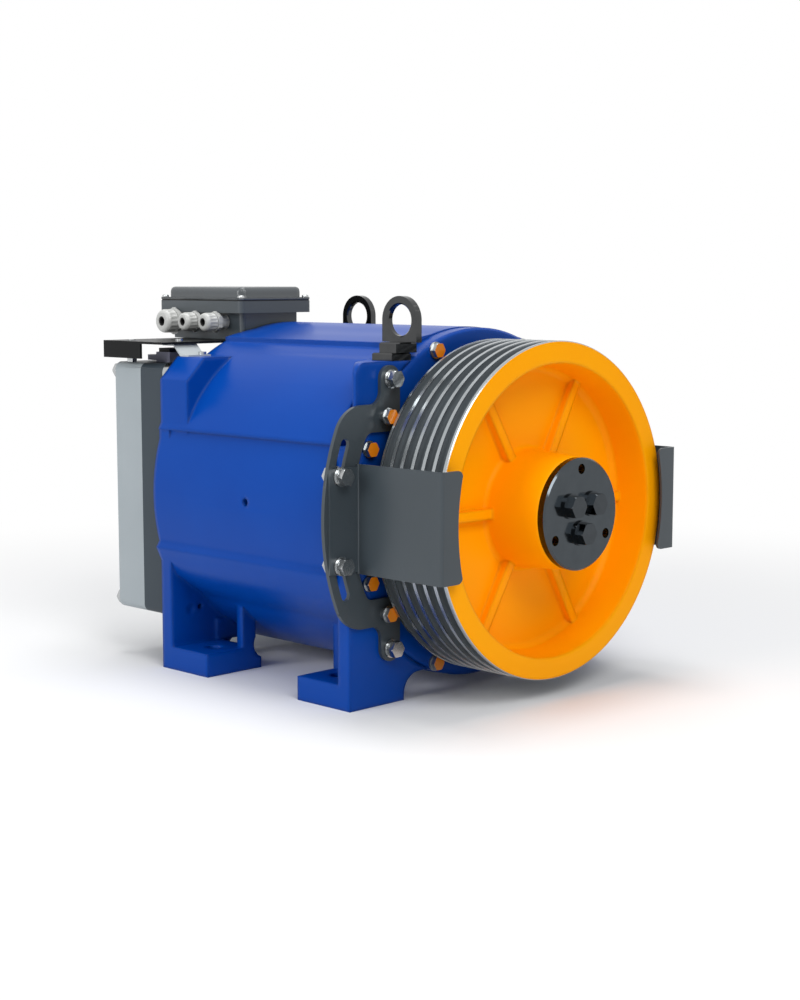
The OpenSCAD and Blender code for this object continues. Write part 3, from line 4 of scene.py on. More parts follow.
import bmesh
import bpy
import numpy as np
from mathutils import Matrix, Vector

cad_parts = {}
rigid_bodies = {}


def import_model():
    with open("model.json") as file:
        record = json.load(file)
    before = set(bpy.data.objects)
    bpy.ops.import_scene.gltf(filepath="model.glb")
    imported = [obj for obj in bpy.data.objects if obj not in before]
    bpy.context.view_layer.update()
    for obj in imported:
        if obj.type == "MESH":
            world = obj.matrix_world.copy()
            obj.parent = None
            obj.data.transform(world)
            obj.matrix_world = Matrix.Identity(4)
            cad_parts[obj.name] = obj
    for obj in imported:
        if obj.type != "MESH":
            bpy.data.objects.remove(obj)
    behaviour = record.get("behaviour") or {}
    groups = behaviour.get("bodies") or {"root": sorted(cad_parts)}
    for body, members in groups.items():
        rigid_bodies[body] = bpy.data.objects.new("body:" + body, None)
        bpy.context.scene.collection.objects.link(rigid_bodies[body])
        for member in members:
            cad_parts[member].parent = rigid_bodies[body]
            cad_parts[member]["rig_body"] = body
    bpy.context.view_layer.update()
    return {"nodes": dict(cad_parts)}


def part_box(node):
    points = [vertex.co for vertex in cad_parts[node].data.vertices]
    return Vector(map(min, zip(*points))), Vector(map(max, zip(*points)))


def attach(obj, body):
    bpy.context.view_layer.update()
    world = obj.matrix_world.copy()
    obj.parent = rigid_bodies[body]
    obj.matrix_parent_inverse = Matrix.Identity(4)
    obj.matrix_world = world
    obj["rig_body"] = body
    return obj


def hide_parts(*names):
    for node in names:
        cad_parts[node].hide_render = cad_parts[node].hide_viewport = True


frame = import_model()

# metres: the shaft's height, the sheave's rim and its turned part, and the floor
AXIS_Z = 0.225
RIM_FRONT = -0.2985
RIM_BACK = -0.1945
RIM_MARGIN = 0.0004
GROOVE_FLOOR = 0.1870
LAND_RADIUS = 0.1988
FLOOR_HALF = 40

# metres: the planes of the bolt end faces, and how far from them the painted orange reflection reaches
BOLT_END_PLANES = (-0.1824, -0.1934)
REFLECTION_DEPTH = 0.0016

# the orange peel's share in the relief of an enamel, and the samples for a casting's rounded shading
PEEL = 0.12
ROUNDING_SAMPLES = 8

# millimetres: Y, radius and bore radius of each gland cap
GLANDS = [(213, 12, 4), (255.5, 12, 4), (300, 15.5, 5)]
# millimetres: the lid's screws and corners
LID_HEAD_R = 4.6
LID_HEAD_H = 3.4
LID_SHANK_R = 2.5
LID_CORNER_R = 8
# millimetres: X and Z of each brake spring, its coil and wire radius, and the count of its turns
SPRING_SPOTS = [(x, z) for x in (-135, -45, 45, 135) for z in (146, 304)]
SPRING_COIL_R = 8.7
SPRING_WIRE_R = 1.25
SPRING_TURNS = 8
# millimetres: height and length of the brake switches' black parts, and the margin of the split
SWITCH_STEP_H = 5
SWITCH_STEP_L = 18
SWITCH_MARGIN = 0.1

# millimetres from the shaft axis, past which the sheave's edges stay as turned
CRISP_RIM = 184
# eased edges: the cosine past which a neighbour carries the same line on, the share of a neighbour that an
# eased edge may take, and the room, in metres, of an edge without neighbours
SAME_LINE = -0.94
ROOM_SHARE = 0.42
WIDE_ROOM = 1.0
# metres: points of a CAD mesh that are closer are one point
MERGE = 0.00002
# edges of a copy that turn by less are dissolved, by more are eased, and by more are shaded sharp
FLAT_ANGLE = math.radians(0.1)
EASED_ANGLE = math.radians(30)
SHARP_ANGLE = math.radians(32)
# edges of a new piece that turn by more are shaded sharp
CREASE_ANGLE = math.radians(50)


# ---------------------------------------------------------------- materials

def linear(code):
    """sRGB hex to linear: up to 0.04045 it is v / 12.92, past it ((v + 0.055) / 1.055) to the power 2.4."""
    v = np.array([int(code[i:i + 2], 16) for i in (1, 3, 5)]) / 255
    v = np.where(v <= 0.04045, v / 12.92, ((v + 0.055) / 1.055) ** 2.4)
    return (*v.tolist(), 1.0)


def add(tree, kind, inputs=None, **settings):
    """A node of that kind with its settings; each input gets a value or a link from an output."""
    made = tree.nodes.new(kind)
    for name, value in settings.items():
        setattr(made, name, value)
    for key, value in (inputs or {}).items():
        socket = made.inputs[key]
        if isinstance(value, bpy.types.NodeSocket):
            tree.links.new(value, socket)
        else:
            socket.default_value = value
    return made


def begin(name):
    """A new material with its tree, shader and Object coordinates."""
    material = bpy.data.materials.new(name)
    material.use_nodes = True
    tree = material.node_tree
    shader = tree.nodes["Principled BSDF"]
    place = add(tree, "ShaderNodeTexCoord").outputs["Object"]
    return material, tree, shader, place


def sprayed_enamel(name, dark, pale, roughness, gloss, grain_mm, depth_mm, round_mm=0.0):
    """Enamel sprayed on a casting or sheet: a soft cloudy colour, faint orange peel and the grain beneath.

    On a casting the edges and inner corners run round with a radius of round_mm.
    """
    material, tree, shader, place = begin(name)
    cloud = add(tree, "ShaderNodeTexNoise",
                {"Vector": place, "Scale": 9.0, "Detail": 3.0, "Roughness": 0.55})
    mix = add(tree, "ShaderNodeMix",
              {"Factor": cloud.outputs["Fac"], "A": linear(dark), "B": linear(pale)}, data_type="RGBA")
    tree.links.new(mix.outputs[2], shader.inputs["Base Color"])
    grain = add(tree, "ShaderNodeTexNoise",
                {"Vector": place, "Scale": 1000 / grain_mm, "Detail": 2.0, "Roughness": 0.5})
    # orange peel has waves of about 5 mm
    skin = add(tree, "ShaderNodeTexNoise", {"Vector": place, "Scale": 1000 / 5.0, "Detail": 1.0})
    both = add(tree, "ShaderNodeMix",
               {"Factor": PEEL, "A": grain.outputs["Fac"], "B": skin.outputs["Fac"]}, data_type="FLOAT")
    bump = add(tree, "ShaderNodeBump",
               {"Height": both.outputs[0], "Strength": 0.35, "Distance": depth_mm / 1000})
    if round_mm:
        cast = add(tree, "ShaderNodeBevel", {"Radius": round_mm / 1000}, samples=ROUNDING_SAMPLES)
        tree.links.new(cast.outputs["Normal"], bump.inputs["Normal"])
    tree.links.new(bump.outputs["Normal"], shader.inputs["Normal"])
    spread = add(tree, "ShaderNodeMapRange",
                 {"Value": cloud.outputs["Fac"], "To Min": roughness - 0.03, "To Max": roughness + 0.04})
    tree.links.new(spread.outputs["Result"], shader.inputs["Roughness"])
    shader.inputs["Specular IOR Level"].default_value = gloss
    return material


def bare_metal(name, dark, pale, roughness, grain_mm, depth_mm):
    """Turned, plated or oxidised metal: uneven tone in patches and a fine tooled grain."""
    material, tree, shader, place = begin(name)
    patch = add(tree, "ShaderNodeTexNoise",
                {"Vector": place, "Scale": 60.0, "Detail": 4.0, "Roughness": 0.6})
    mix = add(tree, "ShaderNodeMix",
              {"Factor": patch.outputs["Fac"], "A": linear(dark), "B": linear(pale)}, data_type="RGBA")
    tree.links.new(mix.outputs[2], shader.inputs["Base Color"])
    shader.inputs["Metallic"].default_value = 1.0
    spread = add(tree, "ShaderNodeMapRange",
                 {"Value": patch.outputs["Fac"], "To Min": roughness - 0.06, "To Max": roughness + 0.08})
    tree.links.new(spread.outputs["Result"], shader.inputs["Roughness"])
    grain = add(tree, "ShaderNodeTexNoise", {"Vector": place, "Scale": 1000 / grain_mm, "Detail": 2.0})
    bump = add(tree, "ShaderNodeBump",
               {"Height": grain.outputs["Fac"], "Strength": 0.2, "Distance": depth_mm / 1000})
    tree.links.new(bump.outputs["Normal"], shader.inputs["Normal"])
    return material


def moulded(name, dark, pale, roughness, grain_mm=0.8, depth_mm=0.03):
    """Moulded polyamide or rubber: an even colour with a fine spark-eroded texture."""
    material, tree, shader, place = begin(name)
    cloud = add(tree, "ShaderNodeTexNoise", {"Vector": place, "Scale": 30.0, "Detail": 2.0})
    mix = add(tree, "ShaderNodeMix",
              {"Factor": cloud.outputs["Fac"], "A": linear(dark), "B": linear(pale)}, data_type="RGBA")
    tree.links.new(mix.outputs[2], shader.inputs["Base Color"])
    shader.inputs["Roughness"].default_value = roughness
    grain = add(tree, "ShaderNodeTexNoise", {"Vector": place, "Scale": 1000 / grain_mm, "Detail": 2.0})
    bump = add(tree, "ShaderNodeBump",
               {"Height": grain.outputs["Fac"], "Strength": 0.25, "Distance": depth_mm / 1000})
    tree.links.new(bump.outputs["Normal"], shader.inputs["Normal"])
    return material


def sheave_finish(name):
    """Orange enamel on the casting and turned steel on the grooved rim.

    The steel lies between the rim's two faces, further from the shaft axis than the groove floors.
    """
    material, tree, shader, place = begin(name)
    xyz = add(tree, "ShaderNodeSeparateXYZ", {"Vector": place})
    up = add(tree, "ShaderNodeMath", {0: xyz.outputs["Z"], 1: AXIS_Z}, operation="SUBTRACT")
    flat = add(tree, "ShaderNodeCombineXYZ", {"X": xyz.outputs["X"], "Y": up.outputs[0]})
    radius = add(tree, "ShaderNodeVectorMath", {0: flat.outputs[0]}, operation="LENGTH").outputs["Value"]
    outer = add(tree, "ShaderNodeMath", {0: radius, 1: GROOVE_FLOOR}, operation="GREATER_THAN")
    behind = add(tree, "ShaderNodeMath",
                 {0: xyz.outputs["Y"], 1: RIM_FRONT + RIM_MARGIN}, operation="GREATER_THAN")
    before = add(tree, "ShaderNodeMath",
                 {0: xyz.outputs["Y"], 1: RIM_BACK - RIM_MARGIN}, operation="LESS_THAN")
    inside = add(tree, "ShaderNodeMath", {0: behind.outputs[0], 1: before.outputs[0]}, operation="MULTIPLY")
    bare = add(tree, "ShaderNodeMath",
               {0: outer.outputs[0], 1: inside.outputs[0]}, operation="MULTIPLY").outputs[0]
    cloud = add(tree, "ShaderNodeTexNoise", {"Vector": place, "Scale": 9.0, "Detail": 3.0})
    paint = add(tree, "ShaderNodeMix",
                {"Factor": cloud.outputs["Fac"], "A": linear("#FFA000"), "B": linear("#FFAB00")},
                data_type="RGBA")
    # turning marks: fine rings one after another along the axis
    turning = add(tree, "ShaderNodeTexWave",
                  {"Vector": place, "Scale": 220.0, "Distortion": 0.6, "Detail": 2.0}, bands_direction="Y")
    # the grooves get a darker steel than the lands: painted shade in the recessed grooves
    top = add(tree, "ShaderNodeMath", {0: radius, 1: LAND_RADIUS}, operation="GREATER_THAN").outputs[0]
    land = add(tree, "ShaderNodeMix",
               {"Factor": turning.outputs["Fac"], "A": linear("#A1A6A9"), "B": linear("#B2B7BA")},
               data_type="RGBA")
    shaded_flank = add(tree, "ShaderNodeMix",
                {"Factor": turning.outputs["Fac"], "A": linear("#71777B"), "B": linear("#7D8387")},
                data_type="RGBA")
    steel = add(tree, "ShaderNodeMix",
                {"Factor": top, "A": shaded_flank.outputs[2], "B": land.outputs[2]}, data_type="RGBA")
    colour = add(tree, "ShaderNodeMix",
                 {"Factor": bare, "A": paint.outputs[2], "B": steel.outputs[2]}, data_type="RGBA")
    tree.links.new(colour.outputs[2], shader.inputs["Base Color"])
    # the grooves are also less metallic and rougher than the lands
    shine = add(tree, "ShaderNodeMapRange", {"Value": top, "To Min": 0.62, "To Max": 1.0})
    metal = add(tree, "ShaderNodeMath", {0: bare, 1: shine.outputs["Result"]}, operation="MULTIPLY")
    tree.links.new(metal.outputs[0], shader.inputs["Metallic"])
    rough = add(tree, "ShaderNodeMapRange", {"Value": metal.outputs[0], "To Min": 0.40, "To Max": 0.25})
    tree.links.new(rough.outputs["Result"], shader.inputs["Roughness"])
    shader.inputs["Specular IOR Level"].default_value = 0.06
    grain = add(tree, "ShaderNodeTexNoise", {"Vector": place, "Scale": 450.0, "Detail": 2.0})
    relief = add(tree, "ShaderNodeMix",
                 {"Factor": bare, "A": grain.outputs["Fac"], "B": turning.outputs["Fac"]},
                 data_type="FLOAT")
    # the casting's edges and inner corners are rounded, the turned rim's are crisp
    cast = add(tree, "ShaderNodeBevel", {"Radius": 0.007}, samples=ROUNDING_SAMPLES)
    turned = add(tree, "ShaderNodeNewGeometry")
    soft = add(tree, "ShaderNodeMix",
               {"Factor": bare, "A": cast.outputs["Normal"], "B": turned.outputs["Normal"]},
               data_type="VECTOR")
    bump = add(tree, "ShaderNodeBump",
               {"Height": relief.outputs[0], "Normal": soft.outputs[1], "Strength": 0.2,
                "Distance": 0.00006})
    tree.links.new(bump.outputs["Normal"], shader.inputs["Normal"])
    return material


def bolt_with_painted_reflection(name):
    """Zinc-plated bolts whose end faces, which look to -Y and lie in two planes, carry a painted orange
    reflection of the sheave.
    """
    material, tree, shader, place = begin(name)
    xyz = add(tree, "ShaderNodeSeparateXYZ", {"Vector": place})
    surface = add(tree, "ShaderNodeNewGeometry")
    facing = add(tree, "ShaderNodeSeparateXYZ", {"Vector": surface.outputs["True Normal"]})
    front = add(tree, "ShaderNodeMath", {0: facing.outputs["Y"], 1: -0.4}, operation="LESS_THAN").outputs[0]
    ends = [add(tree, "ShaderNodeMath",
                {0: xyz.outputs["Y"], 1: plane, 2: REFLECTION_DEPTH}, operation="COMPARE").outputs[0]
            for plane in BOLT_END_PLANES]
    near = add(tree, "ShaderNodeMath", {0: ends[0], 1: ends[1]}, operation="MAXIMUM").outputs[0]
    reflection_mask = add(tree, "ShaderNodeMath", {0: front, 1: near}, operation="MULTIPLY").outputs[0]
    patch = add(tree, "ShaderNodeTexNoise", {"Vector": place, "Scale": 90.0, "Detail": 3.0})
    zinc = add(tree, "ShaderNodeMix",
               {"Factor": patch.outputs["Fac"], "A": linear("#9DA1A2"), "B": linear("#C6C8C8")},
               data_type="RGBA")
    # orange on the end faces: a painted reflection of the orange sheave that they face
    colour = add(tree, "ShaderNodeMix",
                 {"Factor": reflection_mask, "A": zinc.outputs[2], "B": linear("#DC7F12")}, data_type="RGBA")
    tree.links.new(colour.outputs[2], shader.inputs["Base Color"])
    metal = add(tree, "ShaderNodeMath", {0: 1.0, 1: reflection_mask}, operation="SUBTRACT")
    tree.links.new(metal.outputs[0], shader.inputs["Metallic"])
    shader.inputs["Roughness"].default_value = 0.30
    return material


# gloss enamel on grey iron castings: deep blue with a slightly uneven, softly rippled surface
BLUE = sprayed_enamel("blue_gloss_enamel", "#003A90", "#02429B", 0.30, 0.12, 2.4, 0.10, round_mm=8.0)
# gloss enamel on the cast sheave, wiped off its rim, which is turned
ORANGE = sheave_finish("orange_enamel_with_turned_rim")
# satin enamel on laser-cut sheet: nearly smooth
GREY_SHEET = sprayed_enamel("slate_grey_enamel_on_sheet", "#343C41", "#3C444A", 0.31, 0.45, 1.6, 0.02)
# duller enamel on the brake's rougher steel
GREY_CAST = sprayed_enamel("slate_grey_enamel_on_casting", "#343C43", "#3C454C", 0.42, 0.2, 2.0, 0.08)
PALE_CAST = sprayed_enamel("pale_grey_enamel_on_steel", "#939B9F", "#9FA7AB", 0.42, 0.25, 2.0, 0.05)
# thin enamel on bent sheet: the pale tabs and the black roof
PALE_SHEET = sprayed_enamel("pale_grey_enamel_on_sheet", "#A9AFB1", "#B7BCBD", 0.35, 0.3, 1.6, 0.03)
BLACK_SHEET = sprayed_enamel("black_enamel_on_sheet", "#0C0D0E", "#131415", 0.36, 0.12, 1.6, 0.04)
# enamel on die-cast aluminium: satin on the box, glossier and rounded on its lid
BOX_GREY = sprayed_enamel("dark_grey_enamel_on_die_casting", "#343B40", "#3E464B", 0.31, 0.55, 2.2, 0.06)
LID_GREY = sprayed_enamel("dark_grey_enamel_on_cast_lid", "#2B3237", "#343C41", 0.16, 1.0, 2.2, 0.04,
                          round_mm=7.0)
# zinc plating, passivated: cool pale metal with faint patches
ZINC = bare_metal("zinc_plated_steel", "#A8ABAC", "#C6C8C9", 0.20, 0.9, 0.006)
# black-oxided steel, oiled: dark and glossy
OXIDE = bare_metal("black_oxide_steel", "#42474B", "#4E5357", 0.13, 0.9, 0.003)
OXIDE_BOLT = bare_metal("black_oxide_bolt", "#3A3E41", "#4A4E52", 0.15, 0.9, 0.003)
# drop-forged steel, polished over a dark oxide
FORGED = bare_metal("dark_forged_steel", "#434445", "#545556", 0.13, 1.6, 0.006)
# ground or turned steel without a coat: bearings, shaft, armatures
GROUND = bare_metal("ground_steel", "#8C9092", "#A8ABAC", 0.34, 0.7, 0.01)
# wound copper wire under varnish: its 0.9 mm strands show as relief
COPPER = bare_metal("varnished_copper_wire", "#A85A28", "#C97A3E", 0.42, 0.9, 0.12)
# magnets under a grey metal coat
MAGNET = bare_metal("coated_magnet_steel", "#55585B", "#6A6D70", 0.40, 1.2, 0.02)
# pressed lining: matt brown-black with coarse grains
LINING = moulded("pressed_friction_lining", "#3A3632", "#4A443D", 0.85, 1.4, 0.12)
# moulded polyamide and rubber: even colours, fine texture, rubber the dullest
PALE_NYLON = moulded("pale_grey_polyamide", "#B2B3B0", "#C2C3C0", 0.34)
BLACK_NYLON = moulded("black_polyamide", "#151617", "#1D1E20", 0.45)
LILAC_NYLON = moulded("lilac_grey_polyamide", "#9C9DB4", "#A9AABF", 0.45)
RUBBER = moulded("black_nitrile_rubber", "#101010", "#191919", 0.7)
BOLTS_PAINTED_WITH_REFLECTION = bolt_with_painted_reflection("zinc_bolt_with_painted_orange_reflection")


# ---------------------------------------------------------------- pieces

def finish_piece(obj, body, material):
    """Gives a new object its material, body and slot."""
    obj.data.materials.clear()
    obj.data.materials.append(material)
    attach(obj, body)


def room_beside(edge, corner):
    """Room for easing an edge at one end: part of the shortest edge that leaves it sideways there."""
    along = (edge.other_vert(corner).co - corner.co).normalized()
    room = WIDE_ROOM
    for other in corner.link_edges:
        way = other.other_vert(corner).co - corner.co
        turn = along.dot(way.normalized())
        if turn > SAME_LINE:
            room = min(room, ROOM_SHARE * way.length * math.sqrt(max(0.0, 1 - turn * turn)))
    return room


def eased(name, width, material, segments=2, crisp_past=None):
    """A merged copy of a CAD node, its edges eased by that width in mm or by less where there is less room.

    Edges that turn by less than EASED_ANGLE stay, and so do those further from the shaft axis than
    crisp_past, in mm.
    """
    source = frame["nodes"][name]
    mesh = source.data.copy()
    if "custom_normal" in mesh.attributes:
        mesh.attributes.remove(mesh.attributes["custom_normal"])
    shape = bmesh.new()
    shape.from_mesh(mesh)
    bmesh.ops.remove_doubles(shape, verts=shape.verts, dist=MERGE)
    bmesh.ops.dissolve_limit(shape, angle_limit=FLAT_ANGLE, verts=shape.verts, edges=shape.edges)
    weight = shape.edges.layers.float.new("bevel_weight_edge")
    for edge in shape.edges:
        edge.smooth = True
        middle = (edge.verts[0].co + edge.verts[1].co) / 2
        if crisp_past and math.hypot(middle.x, middle.z - AXIS_Z) * 1000 > crisp_past:
            continue
        if edge.is_manifold and edge.calc_face_angle() > EASED_ANGLE:
            room = min(room_beside(edge, corner) for corner in edge.verts)
            edge[weight] = min(1.0, room * 1000 / width)
    shape.to_mesh(mesh)
    shape.free()
    obj = bpy.data.objects.new(name + "_eased", mesh)
    bpy.context.scene.collection.objects.link(obj)
    rounding = obj.modifiers.new("eased_edges", "BEVEL")
    rounding.width = width / 1000
    rounding.segments = segments
    rounding.limit_method = "WEIGHT"
    rounding.miter_outer = "MITER_ARC"
    rounding.use_clamp_overlap = False
    mesh.shade_smooth()
    mesh.set_sharp_from_angle(angle=SHARP_ANGLE)
    even = obj.modifiers.new("even_shading", "WEIGHTED_NORMAL")
    even.keep_sharp = True
    finish_piece(obj, source["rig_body"], material)
    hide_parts(name)
    return obj


def recoat(obj, material, chosen):
    """A second material on the faces whose centres, in mm, the rule chooses."""
    obj.data.materials.append(material)
    faces = obj.data.polygons
    centres = np.empty(len(faces) * 3)
    faces.foreach_get("center", centres)
    faces.foreach_set("material_index", chosen(centres.reshape(-1, 3) * 1000).astype(np.int32))


def tube_mesh(name, tubes, hoop=False):
    """A mesh of tubes, each a grid of rings of points, in mm, where a ring joins the next.

    A face closes each end, or in a hoop the last ring joins the first.
    """
    points, faces = [], []
    for rings in tubes:
        count, around = rings.shape[:2]
        start = sum(len(part) for part in points)
        ring = np.arange(count if hoop else count - 1)[:, None] * around
        after = (ring + around) % (count * around)
        here = np.arange(around)[None, :]
        beside = (here + 1) % around
        sides = np.stack([ring + here, ring + beside, after + beside, after + here], -1)
        faces += (start + sides).reshape(-1, 4).tolist()
        if not hoop:
            faces += [(start + here[0, ::-1]).tolist(), (start + after[-1] + here[0]).tolist()]
        points.append(rings.reshape(-1, 3))
    mesh = bpy.data.meshes.new(name)
    mesh.from_pydata((np.concatenate(points) / 1000).tolist(), [], faces)
    shape = bmesh.new()
    shape.from_mesh(mesh)
    bmesh.ops.recalc_face_normals(shape, faces=shape.faces)
    shape.to_mesh(mesh)
    shape.free()
    mesh.shade_smooth()
    mesh.set_sharp_from_angle(angle=CREASE_ANGLE)
    return mesh


def stand_for(name, mesh, node, material):
    """A new piece with that mesh in the place of a CAD node, on the node's body."""
    obj = bpy.data.objects.new(name, mesh)
    bpy.context.scene.collection.objects.link(obj)
    finish_piece(obj, frame["nodes"][node]["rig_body"], material)
    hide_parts(node)
    return obj


def coil_springs(name, node, spots, coil_r, wire_r, turns):
    """Helical springs, in mm, with axes along Y at the given places (X, Z), as long as the node's tubes.

    The wire's centre turns evenly at coil_r from the axis. Its place along the axis is six tenths of the
    turn's share t and four tenths of the smoothstep of t, 3 t squared less 2 t cubed, so that the turns lie
    closer at the ends. Round the wire the points stand on a circle of wire_r in the plane of the axis and
    the coil's radius.
    """
    low, high = (corner.y * 1000 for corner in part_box(node))
    low, high = low + wire_r, high - wire_r
    share = np.linspace(0, 1, 24 * turns + 1)[:, None]
    turn = 2 * np.pi * turns * share
    wire = np.linspace(0, 2 * np.pi, 12, endpoint=False)[None, :]
    rise = 0.6 * share + 0.4 * share ** 2 * (3 - 2 * share)
    reach = coil_r + wire_r * np.cos(wire)
    tubes = [np.stack([x + reach * np.cos(turn),
                       low + (high - low) * rise + wire_r * np.sin(wire) + 0 * turn,
                       z + reach * np.sin(turn)], -1) for x, z in spots]
    return stand_for(name, tube_mesh(name, tubes), node, GROUND)


def pan_heads(name, node, spots, low, seat, head_r, head_h, shank_r):
    """Pan-head screws, in mm, that stand along Z at the given places (X, Y), from low up to their seat.

    The shank has shank_r. Above the lowest quarter of the head, which is straight, its radius is head_r
    times the root of one less the fourth power of the share of its height, down to a twentieth of head_r,
    which a face closes.
    """
    share = np.linspace(0, 0.998, 12)
    heights = np.concatenate([[low, seat, seat], seat + 0.25 * head_h + 0.75 * head_h * share])
    radii = np.concatenate([[shank_r, shank_r, head_r], head_r * np.maximum(0.05, np.sqrt(1 - share ** 4))])
    angle = np.linspace(0, 2 * np.pi, 32, endpoint=False)[None, :]
    tubes = [np.stack([x + radii[:, None] * np.cos(angle), y + radii[:, None] * np.sin(angle),
                       heights[:, None] + 0 * angle], -1) for x, y in spots]
    return stand_for(name, tube_mesh(name, tubes), node, ZINC)


def fluted_caps(name, node, glands):
    """Gland caps, in mm, turned about axes along X; each gland gives its Y, its radius and its bore's.

    The outline goes along the side, round the front as a quarter of an ellipse, over the front face to the
    bore, back along the bore to a step and out at the back. Between the sides' ends sixteen flutes sink the
    radius by 0.35 mm times one less the cosine of sixteen turns.
    """
    nose = 6.5
    flute = 0.35
    low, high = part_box(node)
    front, back, height = low.x * 1000, high.x * 1000, (low.z + high.z) * 500
    angle = np.linspace(0, 2 * np.pi, 128, endpoint=False)[None, :]
    quarter = np.linspace(0, np.pi / 2, 9)
    tubes = []
    for y, r, bore in glands:
        side = np.array([back, back - 1.0, back - 1.6, front + nose + 1.6])
        across = np.array([r, r + 0.3, r + 0.3, r + 0.3])
        side = np.concatenate([side, front + nose - nose * np.sin(quarter),
                               [front, front + 5.0, front + 5.0, back]])
        across = np.concatenate([across, 0.66 * r + (0.34 * r + 0.3) * np.cos(quarter),
                                 [bore + 1.5, bore + 1.5, r - 2.2, r - 2.2]])
        depth = np.zeros(len(side))
        depth[2:5] = flute
        radius = across[:, None] - depth[:, None] * (1 - np.cos(16 * angle))
        tubes.append(np.stack([side[:, None] + 0 * angle, y + radius * np.cos(angle),
                               height + radius * np.sin(angle)], -1))
    return stand_for(name, tube_mesh(name, tubes, hoop=True), node, PALE_NYLON)


def rounded_loop(low, high, corner):
    """A rectangle in X and Y, in mm, with quarter circles of the given radius at its corners."""
    turn = np.linspace(0, np.pi / 2, 8)
    left, near = low[0] + corner, low[1] + corner
    right, far = high[0] - corner, high[1] - corner
    arcs = []
    for quarter, (x, y) in enumerate([(right, far), (left, far), (left, near), (right, near)]):
        angle = turn + quarter * np.pi / 2
        arcs.append(np.stack([x + corner * np.cos(angle), y + corner * np.sin(angle)], -1))
    return np.concatenate(arcs)


def wide_gasket(name, node, cover, inset, width):
    """A flat rubber frame, in mm, under a cover: two rounded loops, inset from the cover's edge."""
    low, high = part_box(node)
    edge_low, edge_high = (np.array(corner) * 1000 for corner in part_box(cover))
    outer = rounded_loop(edge_low + inset, edge_high - inset, LID_CORNER_R - inset)
    inner = rounded_loop(edge_low + inset + width, edge_high - inset - width, LID_CORNER_R / 2)
    loops = [(outer, low.z), (outer, high.z), (inner, high.z), (inner, low.z)]
    rings = np.stack([np.concatenate([loop, np.full((len(loop), 1), level * 1000)], 1)
                      for loop, level in loops])
    return stand_for(name, tube_mesh(name, [rings], hoop=True), node, RUBBER)


# the finish of each CAD node, also where a new piece stands for it
FINISHES = {
    "front_bearing_cap": GROUND, "front_bearing_outer": GROUND, "front_bearing_inner": GROUND,
    "front_bearing_balls": ZINC, "rear_bearing_outer": GROUND, "rear_bearing_inner": GROUND,
    "rear_bearing_balls": ZINC, "front_seal": RUBBER, "stator_core": GROUND, "windings": COPPER,
    "rotor_core": GROUND, "magnets": MAGNET, "shaft": GROUND, "sheave_key": ZINC, "rear_shield": BLUE,
    "rear_shield_bolts": ZINC, "lid_gasket": RUBBER, "terminal_block": PALE_NYLON, "gland_seals": RUBBER,
    "brake_coils": COPPER, "armature_left": GROUND, "armature_right": GROUND, "brake_springs": GROUND,
    "guide_pins": ZINC, "brake_disc": LINING, "brake_hub": GROUND, "encoder_disc": GROUND,
    "front_shield_bolts": BOLTS_PAINTED_WITH_REFLECTION, "bracket_bolts": ZINC,
    "guard_left_bolts": ZINC, "guard_right_bolts": ZINC, "hub_bolts": OXIDE_BOLT, "hub_plate": OXIDE,
    "lifting_eye_front": FORGED, "lifting_eye_rear": FORGED,
    "gland_bodies": PALE_NYLON, "gland_nuts": PALE_NYLON, "roof_tabs": PALE_SHEET, "roof_posts": ZINC,
    "roof_screws": ZINC, "lid_screws": ZINC, "brake_sleeves": ZINC, "brake_bolts": ZINC,
    "brake_switches": LILAC_NYLON, "encoder_housing": BLACK_NYLON, "roof_plate": BLACK_SHEET,
    "guard_left": GREY_SHEET, "guard_right": GREY_SHEET,
    "bracket_left": GREY_SHEET, "bracket_right": GREY_SHEET,
    "brake_frame": GREY_CAST, "brake_magnet": PALE_CAST,
    "terminal_box": BOX_GREY, "terminal_box_lid": LID_GREY,
    "housing": BLUE, "front_shield": BLUE, "sheave": ORANGE,
}
for node_name, finish in FINISHES.items():
    data = frame["nodes"][node_name].data
    data.materials.clear()
    data.materials.append(finish)

# the castings, sheets and bolts that show, with the width of their eased edges in millimetres
eased("housing", 3.5, BLUE, segments=3)
eased("front_shield", 1.5, BLUE, segments=3)
eased("sheave", 3.0, ORANGE, segments=3, crisp_past=CRISP_RIM)
for side in ("left", "right"):
    eased("bracket_" + side, 1.2, GREY_SHEET)
    eased("guard_" + side, 0.8, GREY_SHEET)
eased("brake_frame", 0.8, GREY_CAST)
eased("brake_magnet", 0.8, PALE_CAST)
eased("terminal_box", 0.8, BOX_GREY)
eased("terminal_box_lid", 1.0, LID_GREY)
eased("hub_plate", 0.6, OXIDE)
eased("hub_bolts", 0.5, OXIDE_BOLT)
eased("lifting_eye_front", 1.4, FORGED)
eased("lifting_eye_rear", 1.4, FORGED)
eased("front_shield_bolts", 0.6, BOLTS_PAINTED_WITH_REFLECTION)
eased("bracket_bolts", 0.6, ZINC)
eased("guard_left_bolts", 0.6, ZINC)
eased("guard_right_bolts", 0.6, ZINC)
eased("gland_bodies", 0.4, PALE_NYLON)
fluted_caps("gland_caps", "gland_nuts", GLANDS)
screw_low, screw_high = (corner * 1000 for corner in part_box("lid_screws"))
lid_corners = [(x, y) for x in (screw_low.x + LID_HEAD_R, screw_high.x - LID_HEAD_R)
               for y in (screw_low.y + LID_HEAD_R, screw_high.y - LID_HEAD_R)]
pan_heads("lid_pan_screws", "lid_screws", lid_corners, screw_low.z, screw_high.z - LID_HEAD_H,
          LID_HEAD_R, LID_HEAD_H, LID_SHANK_R)
wide_gasket("lid_seal", "lid_gasket", "terminal_box_lid", inset=0.8, width=9)
eased("roof_plate", 0.3, BLACK_SHEET)
